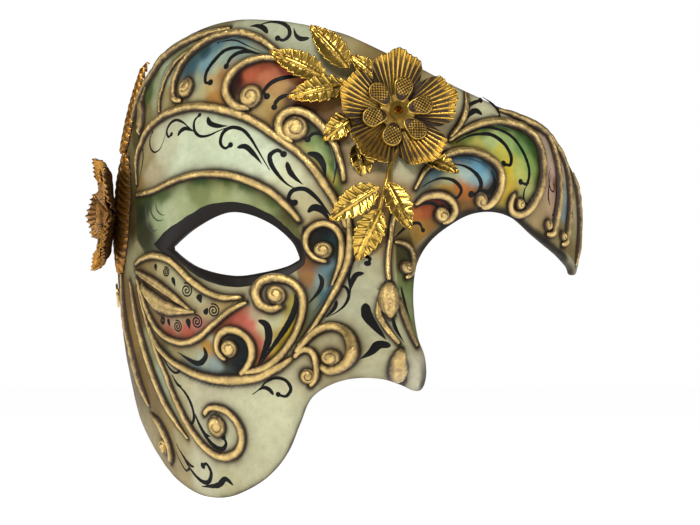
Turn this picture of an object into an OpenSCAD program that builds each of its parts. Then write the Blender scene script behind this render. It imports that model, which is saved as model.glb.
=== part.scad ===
// Venetian half-face mask: a pasted-paper shell with gilded scroll relief,
// brass flowers and leaf sprays, and two ribbon eyelets.
// +X is towards the wearer's left, +Y goes back into the head, +Z is up.
// The origin is the inner face of the shell on the bridge of the nose.
//
// The shell is laid out on an unrolled face form: u runs round the face
// from the nose ridge and z is the height. face() rolls (u, z) up into space.

/* [Face form] */
// Half the width of the face form at its widest level
face_half_w = 83.5; // [78:0.5:88]
// How far the temples lie behind the middle of the face
face_depth = 66; // [58:1:74]
// How far the nose tip stands out of the face
nose_height = 24; // [18:1:26]
// Wall of the pasted-paper shell
shell_t = 2.6; // [2:0.1:3]

/* [Relief] */
// Height of a strand as a share of its width
strand_rise = 0.6; // [0.4:0.05:0.8]
// Greatest height of a broad strand
strand_h_max = 1.8; // [1.2:0.1:2.4]

/* [Brass work] */
// Diameter across the petals of a flower
flower_d = 42; // [34:1:46]
// Thickness of the stamped brass sheet
sheet_t = 0.8; // [0.5:0.1:1.2]
// Bore of the semi-tubular rivet in the middle of a flower
rivet_bore = 3; // [2:0.5:4]

/* [Ribbon eyelets] */
// Bore of a ribbon eyelet
eyelet_bore = 4; // [3:0.5:5]
// Diameter of the rolled flanges of an eyelet
eyelet_flange = 9; // [8:0.5:10]
// Length of an eyelet through the shell
eyelet_len = 4.4; // [4.2:0.1:5]

/* [Hidden] */

paint_cream = "#cdd3b4";
gilt = "#c2a765";
brass = "#d3b64f";
old_brass = "#8a6224";

roll_r = 76;          // radius that turns u into the angle round the face
rib_steps = 3;        // columns between two ribs of the shell
shell_rows = 20;      // rows from the lower to the upper edge
strand_steps = 3;     // rings between two points of a strand
strand_sides = 5;     // facets over the back of a strand
tip_w = 0.5;          // width that a strand tapers to

// ---- face form ----
function ease(t) = let(c = min(1, max(0, t))) c * c * (3 - 2 * c);
function hump(d, w) = exp(-pow(d / w, 2));
function half_w(z) =
    face_half_w - 0.0026 * pow(max(0, z - 5), 2) - 0.0019 * pow(max(0, 5 - z), 2);
function brow_back(z) =
    0.0042 * pow(max(0, z - 22), 2) + 0.0006 * pow(max(0, -20 - z), 2);
function wrap(z) = face_depth - 0.0015 * pow(z - 5, 2);
function ridge_h(z) =
    nose_height * pow(min(1, max(0, (30 - z) / 68)), 1.25) * (1 - ease((-37 - z) / 20));
function ridge_w(z) = 9.6 + 0.0026 * pow(z + 2, 2);
// nose, nostril wings, brow, eye sockets and cheeks, in that order
function features(x, z) = let(a = abs(x))
    ridge_h(z) * hump(x, ridge_w(z))
    + 5 * hump(a - 13, 5.5) * hump(z + 38, 7)
    + 4.5 * hump(z - 22 + 0.004 * pow(a - 35, 2), 9) * exp(-pow(a / 62, 4))
    - 7 * hump(a - 38, 21) * hump(z - 1, 13)
    + 4.5 * hump(a - 44, 22) * hump(z + 34, 20);
// puts the inner face of the bridge at y = 0
y_shift = features(0, 0) - shell_t;
function turn(u) = u / roll_r * 180 / PI;
function face(u, z) = let(th = turn(u), x = half_w(z) * sin(th))
    [x,
     y_shift + brow_back(z) + wrap(z) * (1 - cos(th))
        - features(x, z) * min(1, max(0, 1.6 * cos(th))),
     z];
function unit(v) = v / norm(v);
function out_dir(u, z) = let(e = 0.25)
    unit(cross(face(u + e, z) - face(u - e, z), face(u, z + e) - face(u, z - e)));
function lift(u, z, h) = face(u, z) + out_dir(u, z) * h;

// ---- smooth curves through a few points ----
function bend(p, i, t) =
    let(n = len(p) - 1, a = p[max(0, i - 1)], b = p[i], c = p[i + 1], d = p[min(n, i + 2)])
    0.5 * (2 * b + (c - a) * t + (2 * a - 5 * b + 4 * c - d) * t * t
        + (3 * b - a - 3 * c + d) * t * t * t);
function smooth(p, steps) = concat(
    [for (i = [0:len(p) - 2]) for (k = [0:steps - 1]) bend(p, i, k / steps)],
    [p[len(p) - 1]]);

// ---- frames on the shell ----
// turns local X, Y, Z into the directions along u, up the face, and outwards
module on_face(u, z, h = 0, spin = 0) {
    out = out_dir(u, z);
    side = unit(cross([0, 0, 1], out));
    up = cross(out, side);
    at = lift(u, z, h);
    multmatrix([[side.x, up.x, out.x, at.x], [side.y, up.y, out.y, at.y],
                [side.z, up.z, out.z, at.z], [0, 0, 0, 1]])
        rotate([0, 0, spin])
            children();
}

// ---- shell ----
// each rib is [u, z] on the lower edge and [u, z] on the upper edge
ribs = [
    [-130, -20, -130, 4], [-129, -38, -129, 16], [-121, -53, -125, 30],
    [-110, -64, -118, 44], [-98, -74, -109, 56], [-86, -81, -99, 64],
    [-74, -84.5, -88, 69.5], [-61, -84.5, -77, 72.5], [-49, -81, -68, 74.5],
    [-40, -76, -62, 75.5], [-33, -69, -57, 76], [-28, -60, -52, 76.2],
    [-23, -51, -47, 76], [-14, -46, -42, 75.5], [-4, -45.5, -37, 75],
    [4, -47.5, -33, 74.5], [11, -49.5, -29, 73.8], [12.3, -45, -25, 73],
    [9, -35, -13, 70], [8, -22, -3, 65.8], [9, -12, 5, 62],
    [11.5, -5, 12, 59], [16, 1, 19, 55.8], [22.5, 6, 26, 52.6],
    [30, 9.8, 34, 49.5], [38, 10.8, 42, 46.8], [47, 9, 51, 45],
    [57, 4, 61, 43.2], [68, -0.5, 70, 39.8], [79, -4.5, 77.5, 34.5],
    [85.5, -6.6, 82, 31.6], [90, -8.6, 86.5, 29.3], [94.5, -6, 91, 27.4],
    [101, -2, 97, 24.8], [108, 3, 104, 21.5], [113, 8, 111, 16]];
upper_lid = [[-73, -1.5], [-61, 5.3], [-47, 10], [-35, 6.8], [-27, 0.5], [-24.3, -6]];
lower_lid = [[-24.3, -6], [-29, -8.6], [-37, -10.6], [-47, -11.5], [-61, -8.3], [-73, -1.5]];
eye_u = -48;          // middle of the eye opening
lid_steps = 5;

function grid_tris(cols, rows, first, flip) = [
    for (i = [0:cols - 2]) for (j = [0:rows - 2])
        let(a = first + i * rows + j, b = a + 1, c = a + rows + 1, d = a + rows)
            each flip ? [[a, c, b], [a, d, c]] : [[a, b, c], [a, c, d]]];
// the rim strip between the outer and the inner sheet, along a list of points
function rim_tris(line, gap) = [
    for (k = [0:len(line) - 2])
        each [[line[k], line[k + 1], line[k + 1] + gap], [line[k], line[k + 1] + gap, line[k] + gap]]];

module blank_shell() {
    cols = smooth(ribs, rib_steps);
    n = len(cols);
    rows = shell_rows + 1;
    spots = [for (c = cols) for (j = [0:shell_rows]) let(t = j / shell_rows)
        [c[0] + (c[2] - c[0]) * t, c[1] + (c[3] - c[1]) * t]];
    outer = [for (p = spots) face(p.x, p.y)];
    inner = [for (p = spots) lift(p.x, p.y, -shell_t)];
    all = n * rows;
    lower = [for (i = [0:n - 1]) i * rows];
    right = [for (j = [0:rows - 1]) (n - 1) * rows + j];
    upper = [for (i = [n - 1:-1:0]) i * rows + rows - 1];
    left = [for (j = [rows - 1:-1:0]) j];
    polyhedron(concat(outer, inner), concat(
        grid_tris(n, rows, 0, false), grid_tris(n, rows, all, true),
        rim_tris(concat(lower, right, upper, left), all)));
}

// a bore through the shell along its own outward direction
module face_bore(u, z, d) {
    on_face(u, z, -5 * shell_t) cylinder(d = d, h = 8 * shell_t, $fn = 32);
}

module eye_cutter() {
    th = turn(eye_u);
    lids = concat(smooth(upper_lid, lid_steps), smooth(lower_lid, lid_steps));
    rim = [for (p = lids) let(q = face(p.x, p.y)) [q.x * cos(th) + q.y * sin(th), q.z]];
    rotate([0, 0, th]) rotate([90, 0, 0])
        translate([0, 0, -30]) linear_extrude(100) polygon(rim);
}

module mask_shell() {
    color(paint_cream)
    resize([0, 0, 0])
    difference() {
        blank_shell();
        eye_cutter();
        face_bore(flower_u, flower_z, rivet_d);
        face_bore(temple_u, temple_z, rivet_d);
        for (s = eyelets) face_bore(s[0], s[1], eyelet_d);
    }
}

// ---- relief strands ----
// a half-round bead that follows the shell; each point is [u, z, width]
module strand(points) {
    path = smooth(points, strand_steps);
    n = len(path);
    m = strand_sides + 1;
    rings = [for (i = [0:n - 1]) let(
            along = path[min(n - 1, i + 1)] - path[max(0, i - 1)],
            t = unit([along.x, along.y]),
            w = max(tip_w, path[i][2]),
            h = min(strand_h_max, w * strand_rise))
        for (k = [0:strand_sides]) let(a = 180 * k / strand_sides)
            lift(path[i].x - t.y * cos(a) * w / 2, path[i].y + t.x * cos(a) * w / 2, h * sin(a))];
    sides = [for (i = [0:n - 2]) for (k = [0:m - 1])
        let(a = i * m + k, b = i * m + (k + 1) % m)
            each [[a, a + m, b + m], [a, b + m, b]]];
    ends = [[for (k = [0:m - 1]) k], [for (k = [m - 1:-1:0]) (n - 1) * m + k]];
    polyhedron(rings, concat(sides, ends));
}

// a round boss at the eye of a scroll; each boss is [u, z, radius]
module boss(b) {
    h = strand_h_max + 0.4;
    on_face(b[0], b[1])
        rotate_extrude($fn = 14)
            polygon(concat([[0, -0.2], [b[2], -0.2]],
                [for (a = [10:20:90]) [b[2] * cos(a), h * sin(a)]]));
}

module relief(strands, bosses = []) {
    color(gilt)
    resize([0, 0, 0]) {
        for (s = strands) strand(s);
        for (b = bosses) boss(b);
    }
}

module top_edge_rim() {
    relief([[[-56, 73.5, 1.2], [-70, 71.5, 2.6], [-84, 68, 3], [-95, 62, 3], [-104, 54, 3],
        [-109, 45, 2.6], [-112, 34, 1.4]]]);
}
module forehead_arch() {
    relief([[[-93, 21, 1], [-95, 31, 2.2], [-89, 40, 2.8], [-78, 44.5, 3], [-65, 46, 3],
        [-53, 44, 3], [-42, 40, 3], [-34, 34.5, 2.8], [-25, 27, 2.6], [-18, 18, 2.6],
        [-13, 10, 2.2], [-11, 4, 1.4]]]);
}
module lid_line() {
    relief([[[-93, 17.5, 1.2], [-84, 17.8, 2], [-76, 19.6, 2.2], [-69, 21.4, 2.4],
        [-59, 22.6, 2.6], [-48, 21.6, 2.6], [-37, 17.6, 2.4], [-29, 11.8, 2.2],
        [-24.5, 6.4, 1.6]]]);
}
module forehead_scroll_outer() {
    relief([[[-35, 63.5, 2], [-43, 68.8, 2.6], [-51, 71.2, 2.8], [-60, 71, 2.8],
        [-68, 68.2, 2.8], [-74.4, 63.8, 2.8], [-77.4, 58.6, 2.8], [-77.8, 53.2, 2.6],
        [-76, 49.4, 2.2], [-72.6, 48.6, 1.8]]], [[-71, 53, 3.6]]);
}
module forehead_scroll_middle() {
    relief([[[-34.5, 61, 2], [-41.6, 61.6, 2.8], [-48.4, 59.4, 3.2], [-52.2, 55.2, 3.4],
        [-52.8, 50.6, 3.4], [-50.4, 46.8, 3.2], [-47, 44.6, 3], [-43.4, 44.2, 2.2]]],
        [[-43.2, 48.2, 4.2]]);
}
module forehead_scroll_inner() {
    relief([[[-12.5, 19, 1.4], [-13.4, 25, 2.2], [-15, 31, 2.6], [-18.5, 37, 3],
        [-23, 41.4, 3.2], [-28, 43, 3.2], [-31.6, 41.4, 3.4], [-32.8, 38, 3.4],
        [-31.4, 34.4, 3], [-28.2, 32.4, 2]]], [[-27.4, 36.8, 4.4]]);
}
module temple_panel_strand() {
    relief([[[-72, 67.5, 1], [-79.5, 64, 1.6], [-84, 58, 1.8], [-85.5, 51, 1.6], [-84, 45.5, 1]]]);
}
module temple_drop() {
    relief([[[-101, 58, 1], [-100.5, 51, 2.4], [-98.5, 46.5, 5], [-97, 42.5, 5], [-96.5, 38.5, 1.6]]]);
}
module eye_corner_scroll() {
    relief([[[-15.5, -15, 1], [-12.8, -7, 1.8], [-12.2, -0.5, 2.2], [-13.8, 3.8, 2.4],
        [-17.4, 5.6, 2.4], [-20.8, 4.4, 2.4], [-22.6, 1.2, 2.2], [-22.2, -3, 2],
        [-19.8, -6.2, 1.8], [-16.8, -7, 1.4]]], [[-17.6, -3.2, 2.9]]);
}
module nose_side_border() {
    relief([[[-10.5, 8, 1.4], [-9.8, 1, 2.2], [-10.4, -6, 2.2], [-12.8, -13, 2.2],
        [-16.6, -20.5, 2], [-21.4, -28, 1.8], [-27, -35, 1.2]]]);
}
module under_eye_scroll() {
    relief([[[-47, -43.6, 1.6], [-40, -42.4, 2.6], [-34.6, -39.4, 2.6], [-29.4, -33.6, 2.4],
        [-25.8, -26.6, 2.4], [-24.6, -19.6, 2.8], [-26, -15.6, 3], [-29.4, -13.2, 3.2],
        [-33.8, -12.6, 3.4], [-37.8, -14.2, 3.4], [-39.6, -17.6, 3.4], [-38.4, -21.2, 3.2],
        [-35, -23, 2.8], [-31.4, -21.8, 2.2]]], [[-33, -18.2, 3.3]]);
}
module under_eye_wave() {
    relief([[[-93, -6.4, 1.4], [-86, -4.4, 2.2], [-79, -4, 2.6], [-72.6, -5.6, 2.6],
        [-67.6, -9, 2.6], [-62.6, -13.2, 2.6], [-57, -16.8, 2.6], [-51, -18.8, 2.4],
        [-44.5, -18.8, 1.6]]]);
}
module cheek_panel_border() {
    relief([[[-43, -20.4, 1.4], [-49.4, -23.6, 2], [-56, -28.2, 2.2], [-62, -32, 2.4],
        [-68.4, -33.6, 2.4], [-75.6, -32.2, 2.4], [-82, -28.4, 2.2], [-86.4, -22.6, 2],
        [-89.8, -16, 1.8], [-92.5, -11, 1.2]]]);
}
module cheek_leaf_core() {
    relief([[[-93, -8.8, 1.2], [-87, -10.4, 2.6], [-80.5, -13, 3.4], [-74.5, -16.2, 3.2],
        [-69, -19.6, 2.4], [-64.4, -22.8, 1]], [[-89, -13, 1.4], [-85, -16.6, 4.4],
        [-80, -19.8, 6.4], [-74.5, -21.8, 5.4], [-68.5, -23, 3], [-63, -23.4, 1]]]);
}
module cheek_scroll() {
    relief([[[-47.6, -44.4, 1.8], [-44.6, -41.6, 2.6], [-42.4, -37.6, 2.8], [-43, -33.2, 2.8],
        [-46.4, -30.2, 2.8], [-50.6, -29.6, 2.8], [-54, -32, 2.6], [-54.8, -36.2, 2.4],
        [-52.4, -39.4, 1.8]]], [[-50.4, -35.6, 3]]);
}
module cheek_lower_border() {
    relief([[[-88, -26, 1], [-82.6, -34.2, 2], [-75.4, -39.6, 2.4], [-67.4, -43, 2.8],
        [-59.6, -45.2, 3.2], [-51, -46, 3.4], [-42, -45.2, 3.4], [-34.8, -42.2, 3],
        [-29, -38.6, 1.8]]]);
}
module nose_curl_large() {
    relief([[[-28, -37, 1.8], [-23.6, -32.2, 2.6], [-19.4, -29.2, 3], [-15.4, -28.6, 3.2],
        [-12.4, -30.6, 3.4], [-11.4, -34.4, 3.4], [-12, -38.6, 3.4], [-14.4, -41.6, 3.2],
        [-17.8, -42.8, 2.8], [-20.2, -41, 2]]], [[-17.2, -38.6, 2.7]]);
}
module nose_curl_small() {
    relief([[[-28.6, -38.6, 1.6], [-25.4, -36.2, 2.2], [-22.4, -37, 2.4], [-21.2, -41, 2.4],
        [-21.6, -45, 2.2], [-23.6, -48, 1.8]]], [[-24.2, -44.6, 2.6]]);
}
module nose_ridge_line() {
    relief([[[3, 16, 1], [2.2, 8, 1.6], [0.6, -1, 1.6], [-0.4, -8, 1.6], [-0.4, -13.6, 1.6]]]);
}
module nose_drop() {
    relief([[[-0.4, -14.6, 3], [-0.6, -18, 6], [-0.8, -21.6, 6.4], [-0.8, -24.4, 4], [-0.8, -26, 2]],
        [[-3.4, -20, 1], [-3.6, -25, 1.8], [-1.8, -30, 1.8], [1, -34.4, 1.4]],
        [[2.4, -20, 1], [3.2, -25, 1.8], [5, -30, 1.8], [7.6, -35, 1.4]]]);
}
module nose_tip_lobe() {
    relief([[[1.6, -36, 2], [0.8, -39.4, 5], [1.6, -43, 6.4], [3.4, -46.4, 4]]]);
}
module bridge_scroll() {
    relief([[[2.4, -1, 1.2], [5.2, -1.4, 1.8], [7.8, -3.2, 2], [8.7, -6.8, 2], [7.8, -10.8, 2],
        [5.4, -12.8, 1.6]]], [[5.4, -9.4, 2.2]]);
}
module brow_scroll_red() {
    relief([[[9.4, 11.8, 1.2], [13, 14.6, 2.4], [18, 15.4, 2.8], [21.6, 13.8, 2.8],
        [23.2, 10.6, 2.8], [22, 7.8, 2.4], [19.4, 6.4, 1.8]]], [[18.8, 9, 2.7]]);
}
module brow_scroll_blue() {
    relief([[[9, 16.6, 1], [11.8, 22, 1.6], [16.4, 26.2, 2.2], [22.4, 29.4, 2.6],
        [29.4, 30.2, 2.8], [35.6, 28.2, 3], [39.2, 24.6, 3], [39.8, 20.6, 3], [38.6, 16.4, 2.8],
        [36.2, 13.4, 2.6], [33, 12.2, 2]]], [[32.4, 14.6, 2.4]]);
}
module brow_scroll_green() {
    relief([[[21.6, 33.6, 1.2], [27.4, 37.4, 2.2], [34.6, 40.4, 2.6], [43, 41.6, 3],
        [52, 40.6, 3], [58.2, 37.8, 3], [61.2, 33, 3], [61.4, 27.2, 3], [59.2, 21, 3],
        [56, 15.6, 3], [52.2, 11.6, 3], [48.2, 10.4, 2.8], [45, 12, 2.6], [44.6, 15, 2.2],
        [46.4, 17, 1.6]], [[30, 51, 1], [29.2, 45.4, 2], [26.4, 39.8, 2.2], [22.2, 34.8, 1.6]]],
        [[48.6, 13.9, 1.9]]);
}
module wing_top_rim() {
    relief([[[43, 45.6, 1], [48, 44.8, 2.2], [54, 43.2, 2.6], [61, 41.6, 2.8], [67.6, 39.2, 2.6],
        [73.4, 35.6, 2.4], [78.6, 32, 2], [83.6, 29, 1.2]]]);
}
module wing_stripe_front() {
    relief([[[66, 40, 1.6], [70, 35.6, 2.6], [72, 28, 3], [71.4, 19.6, 3.2], [69.4, 11, 3.4],
        [67, 5, 3], [63.4, 4.2, 2]]], [[63.6, 7.4, 2]]);
}
module wing_stripe_middle() {
    relief([[[77, 33.6, 1.6], [80.4, 28, 2.6], [81.4, 20, 3], [79.8, 11, 3.2], [76.6, 2.6, 3],
        [73.4, 1, 1.8]]], [[73.6, 4, 1.7]]);
}
module wing_stripe_back() {
    relief([[[88, 27.4, 1.6], [93, 21.6, 3], [95, 14, 3.4], [93.8, 6, 3.4], [91, -1.6, 2.8],
        [89.6, -5.6, 1]]]);
}
module jaw_ribbon_back() {
    relief([[[-108, -8, 1.4], [-108.4, -20, 2.8], [-106, -32, 3.2], [-102.4, -42, 3.2],
        [-98.6, -51, 2.4], [-97, -55, 1]]]);
}
module jaw_ribbon_middle() {
    relief([[[-98.5, -12, 1.2], [-95, -25, 2.4], [-91, -37, 2.8], [-86.4, -48, 2.8],
        [-80.6, -58, 2.4], [-74.6, -65.6, 1]]]);
}
module jaw_ribbon_front() {
    relief([[[-92.5, -14, 1], [-87, -28, 1.6], [-81, -42, 2], [-76.4, -53, 2.2],
        [-71.2, -62.6, 2.6], [-65, -69.2, 2.8], [-58.2, -71.4, 3], [-52, -69.6, 3.2],
        [-49.2, -65, 3], [-50.2, -59.8, 2.8], [-54.4, -56, 2.6], [-60, -55, 2.4],
        [-64, -57.4, 1.8]]], [[-59, -61.2, 3.8]]);
}
module jaw_scroll() {
    relief([[[-97, -57.5, 1.2], [-91.6, -60.4, 2.8], [-88, -65.6, 3.2], [-87.2, -71, 3],
        [-89.8, -73.8, 2.2]]], [[-91.6, -68.6, 2.8]]);
}

// ---- brass flowers ----
flower_u = 4;         // forehead flower, on the left brow
flower_z = 41.6;
temple_u = -114;      // temple flower, in front of the ear
temple_z = 12;
flower_h = 2.4;       // the petals spring from this height above the shell
rivet_wall = 0.6;
rivet_d = rivet_bore + 2 * rivet_wall + 0.2;
petal_n = 5;
petal_spin = 88;      // one petal points almost straight up
cup_r = 38;           // radius of the petals' cupped sheet
stamen_n = 6;
stamen_r = 8.6;       // circle that the stamens stand on
stamen_d = 7;
stamen_start = -13;   // turn of the first stamen from a petal's middle

// outline of five broad, scalloped petals
function petal_r(a) = let(p = a * petal_n / 2)
    flower_d / 2 * (0.5 + 0.47 * pow(abs(cos(p)), 0.35) + 0.03 * cos(6 * p));
module petal_outline() {
    polygon([for (a = [0:3:357]) petal_r(a) * [cos(a), sin(a)]]);
}
module cupped_sheet(bore) {
    rotate_extrude($fn = 72)
        intersection() {
            translate([0, cup_r]) difference() {
                circle(r = cup_r, $fn = 180);
                circle(r = cup_r - sheet_t, $fn = 180);
            }
            translate([bore / 2, -1]) square([flower_d / 2 + 2 - bore / 2, 10]);
        }
}
module flower_petals() {
    intersection() {
        cupped_sheet(rivet_d + 0.4);
        translate([0, 0, -1]) linear_extrude(12) petal_outline();
    }
}
// six domed stamens on a star-shaped calyx
module flower_stamens() {
    for (k = [0:stamen_n - 1])
        rotate([0, 0, k * 360 / stamen_n + stamen_start]) translate([stamen_r, 0, 1.9])
            intersection() {
                sphere(d = stamen_d, $fn = 32);
                translate([0, 0, stamen_d / 2]) cube(stamen_d, center = true);
            }
    difference() {
        translate([0, 0, 1.2]) cylinder(r = stamen_r, h = 1.2, $fn = 48);
        translate([0, 0, 1]) cylinder(d = rivet_d + 0.4, h = 2, $fn = 48);
    }
}
rivet_tail = 2;       // solid end of the rivet behind the shell

// semi-tubular rivet: hollow and flared in the flower's cup, headed behind the shell
module flower_rivet(depth) {
    tube_d = rivet_bore + 2 * rivet_wall;
    rise = 4;
    rotate_extrude($fn = 48)
        difference() {
            union() {
                translate([0, -depth]) square([tube_d / 2, depth + rise]);
                translate([0, rise - 1]) square([tube_d / 2 + 1, 1]);
                translate([0, -depth]) square([tube_d / 2 + 1.4, 0.6]);
            }
            translate([-1, rivet_tail - depth]) square([rivet_bore / 2 + 1, depth + rise]);
        }
}
module at_forehead() {
    on_face(flower_u, flower_z, flower_h, petal_spin) children();
}
// the temple flower faces straight out to the side and a little forwards
module at_temple() {
    at = lift(temple_u, temple_z, flower_h);
    translate(at) rotate([0, -90, 6]) rotate([0, 0, petal_spin]) children();
}
module forehead_flower_petals() {
    color(brass) at_forehead() flower_petals();
}
module forehead_flower_stamens() {
    color(brass) at_forehead() flower_stamens();
}
module forehead_flower_rivet() {
    color(brass) at_forehead() flower_rivet(flower_h + shell_t + 0.9);
}
module temple_flower_petals() {
    color(old_brass) at_temple() flower_petals();
}
module temple_flower_stamens() {
    color(old_brass) at_temple() flower_stamens();
}
module temple_flower_rivet() {
    color(old_brass) at_temple() flower_rivet(flower_h + shell_t + 0.9);
}

// ---- brass leaves ----
leaf_stalk = 6;       // the midrib runs on this far behind a leaf of a spray
stem_w = 2.4;         // wire stem that a spray's leaves are soldered to

// a lens-shaped leaf from the origin along +X, with a raised midrib and a stalk behind it
module leaf(len, w, stalk) {
    r = (len * len / 4 + w * w / 4) / w;
    translate([len / 2, 0, 0]) linear_extrude(sheet_t) intersection() {
        translate([0, r - w / 2]) circle(r = r, $fn = 96);
        translate([0, w / 2 - r]) circle(r = r, $fn = 96);
    }
    translate([-stalk, 0, sheet_t * 0.6]) rotate([0, 90, 0])
        cylinder(d1 = 1.6, d2 = 0.9, h = len - 2 + stalk, $fn = 24);
}
// each leaf is [u, z, height above the shell, direction, length, width]
module spray(leaves, stalk = 1) {
    for (k = leaves) on_face(k[0], k[1], k[2], k[3]) leaf(k[4], k[5], stalk);
}
// a wire stem along the shell, as [u, z] points
module stem(points) {
    resize([0, 0, 0]) strand([for (p = points) [p.x, p.y, stem_w]]);
}
module forehead_spray() {
    color(brass) {
        spray([[-17.6, 53.2, 1.6, 153, 21, 9], [-10.3, 56, 2.2, 129, 20, 9],
            [-10.9, 51, 1.4, 193, 20, 9]], leaf_stalk);
        stem([[0.5, 45.5], [-4, 49], [-10, 51.6], [-17, 53]]);
    }
}
module forehead_leaf_right() {
    color(brass) spray([[1.9, 49, 1.4, 134, 17, 8]]);
}
module forehead_leaf_small() {
    color(brass) spray([[-9.3, 40.5, 0.8, 220, 12.5, 8]]);
}
module flower_tip_leaf() {
    color(brass) spray([[11.2, 26.2, 1.4, -25, 13, 7]]);
}
module bridge_bud_leaf() {
    color(brass) spray([[-8.1, 31, 0.8, 280, 12, 8]]);
}
module bridge_spray() {
    color(brass) {
        spray([[-2.3, 16.5, 1.4, 214, 19, 9.5], [-1.4, 10, 2.2, 244, 18.5, 9.5],
            [-0.2, 17.5, 1.4, 292, 17.5, 8.5]], leaf_stalk);
        stem([[4.5, 34], [3.2, 27], [0.6, 21], [-0.8, 15], [-1.4, 10]]);
    }
}
// feathery leaves that hug the temple behind the flower
module temple_rosette() {
    color(old_brass) resize([0, 0, 0]) difference() {
        strand([[-106, -9, 2], [-107, -2, 14], [-107.5, 7, 20], [-107.5, 17, 20],
            [-107, 26, 14], [-106, 33, 2]]);
        face_bore(temple_u, temple_z, rivet_d);
    }
}
module temple_feather_leaf() {
    color(old_brass) resize([0, 0, 0])
        strand([[-112, 33, 2], [-112, 39, 7], [-111, 47, 7.4], [-109, 55, 5.4],
            [-107, 62, 3], [-106, 65.5, 0.8]]);
}

// ---- ribbon eyelets ----
eyelets = [[-124.5, -16], [106, 8]];
eyelet_wall = 0.5;
eyelet_d = eyelet_bore + 2 * eyelet_wall;
flange_t = 0.6;
module ribbon_eyelet(spot) {
    on_face(spot[0], spot[1], -shell_t / 2 - eyelet_len / 2)
        difference() {
            union() {
                cylinder(d = eyelet_d, h = eyelet_len, $fn = 48);
                cylinder(d = eyelet_flange, h = flange_t, $fn = 48);
                translate([0, 0, eyelet_len - flange_t])
                    cylinder(d = eyelet_flange, h = flange_t, $fn = 48);
            }
            translate([0, 0, -1]) cylinder(d = eyelet_bore, h = eyelet_len + 2, $fn = 48);
        }
}
module ribbon_eyelet_right() {
    color(brass) ribbon_eyelet(eyelets[0]);
}
module ribbon_eyelet_left() {
    color(brass) ribbon_eyelet(eyelets[1]);
}

mask_shell();
top_edge_rim();
forehead_arch();
lid_line();
forehead_scroll_outer();
forehead_scroll_middle();
forehead_scroll_inner();
temple_panel_strand();
temple_drop();
eye_corner_scroll();
nose_side_border();
under_eye_scroll();
under_eye_wave();
cheek_panel_border();
cheek_leaf_core();
cheek_scroll();
cheek_lower_border();
nose_curl_large();
nose_curl_small();
nose_ridge_line();
nose_drop();
nose_tip_lobe();
bridge_scroll();
brow_scroll_red();
brow_scroll_blue();
brow_scroll_green();
wing_top_rim();
wing_stripe_front();
wing_stripe_middle();
wing_stripe_back();
jaw_ribbon_back();
jaw_ribbon_middle();
jaw_ribbon_front();
jaw_scroll();
forehead_flower_petals();
forehead_flower_stamens();
forehead_flower_rivet();
forehead_spray();
forehead_leaf_right();
forehead_leaf_small();
flower_tip_leaf();
bridge_bud_leaf();
bridge_spray();
temple_flower_petals();
temple_flower_stamens();
temple_flower_rivet();
temple_rosette();
temple_feather_leaf();
ribbon_eyelet_right();
ribbon_eyelet_left();
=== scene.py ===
"""Looks for a Venetian half-face mask: painted pasted-paper shell, gilded gesso scrolls,
brass flowers and leaf sprays.

Everything on the shell is laid out in (u, z) millimetres: u runs round the face from the
nose ridge and z is the height. face() rolls (u, z) up into space, as the CAD part does.
"""
import math

import bpy
import numpy as np
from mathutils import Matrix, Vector
from mathutils.kdtree import KDTree


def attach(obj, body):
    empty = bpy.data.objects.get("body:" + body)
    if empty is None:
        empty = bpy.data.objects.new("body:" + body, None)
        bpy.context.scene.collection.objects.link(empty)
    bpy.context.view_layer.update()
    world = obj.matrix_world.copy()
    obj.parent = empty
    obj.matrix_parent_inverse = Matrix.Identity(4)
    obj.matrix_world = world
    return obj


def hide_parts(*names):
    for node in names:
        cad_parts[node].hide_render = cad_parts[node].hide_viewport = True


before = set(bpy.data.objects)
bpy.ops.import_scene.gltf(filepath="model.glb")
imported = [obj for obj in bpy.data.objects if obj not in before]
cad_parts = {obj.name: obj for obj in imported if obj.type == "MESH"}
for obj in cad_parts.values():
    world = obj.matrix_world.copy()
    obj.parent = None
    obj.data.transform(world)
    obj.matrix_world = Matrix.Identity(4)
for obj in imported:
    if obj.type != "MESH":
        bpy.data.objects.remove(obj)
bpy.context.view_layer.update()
MM = 0.001
FINE = 3      # how finely curves are sampled

# ---- face form, in millimetres ----
FACE_HALF_W, FACE_DEPTH, NOSE_HEIGHT, SHELL_T, ROLL_R = 83.5, 66, 24, 2.6, 76
STRAND_RISE, STRAND_H_MAX = 0.6, 1.8


def hump(d, w):
    return np.exp(-(d / w) ** 2)


def ease(t):
    c = np.clip(t, 0, 1)
    return c * c * (3 - 2 * c)


def features(x, z):
    """How far nose, nostril wings, brow, eye sockets and cheeks stand out of the rolled face."""
    a = np.abs(x)
    ridge = NOSE_HEIGHT * np.clip((30 - z) / 68, 0, 1) ** 1.25 * (1 - ease((-37 - z) / 20))
    return (ridge * hump(x, 9.6 + 0.0026 * (z + 2) ** 2)
            + 5 * hump(a - 13, 5.5) * hump(z + 38, 7)
            + 4.5 * hump(z - 22 + 0.004 * (a - 35) ** 2, 9) * np.exp(-(a / 62) ** 4)
            - 7 * hump(a - 38, 21) * hump(z - 1, 13)
            + 4.5 * hump(a - 44, 22) * hump(z + 34, 20))


Y_SHIFT = float(features(0.0, 0.0)) - SHELL_T


def face(u, z):
    u, z = np.broadcast_arrays(np.asarray(u, float), np.asarray(z, float))
    th = u / ROLL_R
    half = FACE_HALF_W - 0.0026 * np.maximum(0, z - 5) ** 2 - 0.0019 * np.maximum(0, 5 - z) ** 2
    back = 0.0042 * np.maximum(0, z - 22) ** 2 + 0.0006 * np.maximum(0, -20 - z) ** 2
    x = half * np.sin(th)
    y = (Y_SHIFT + back + (FACE_DEPTH - 0.0015 * (z - 5) ** 2) * (1 - np.cos(th))
         - features(x, z) * np.clip(1.6 * np.cos(th), 0, 1))
    return np.stack([x, y, z], -1)


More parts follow.
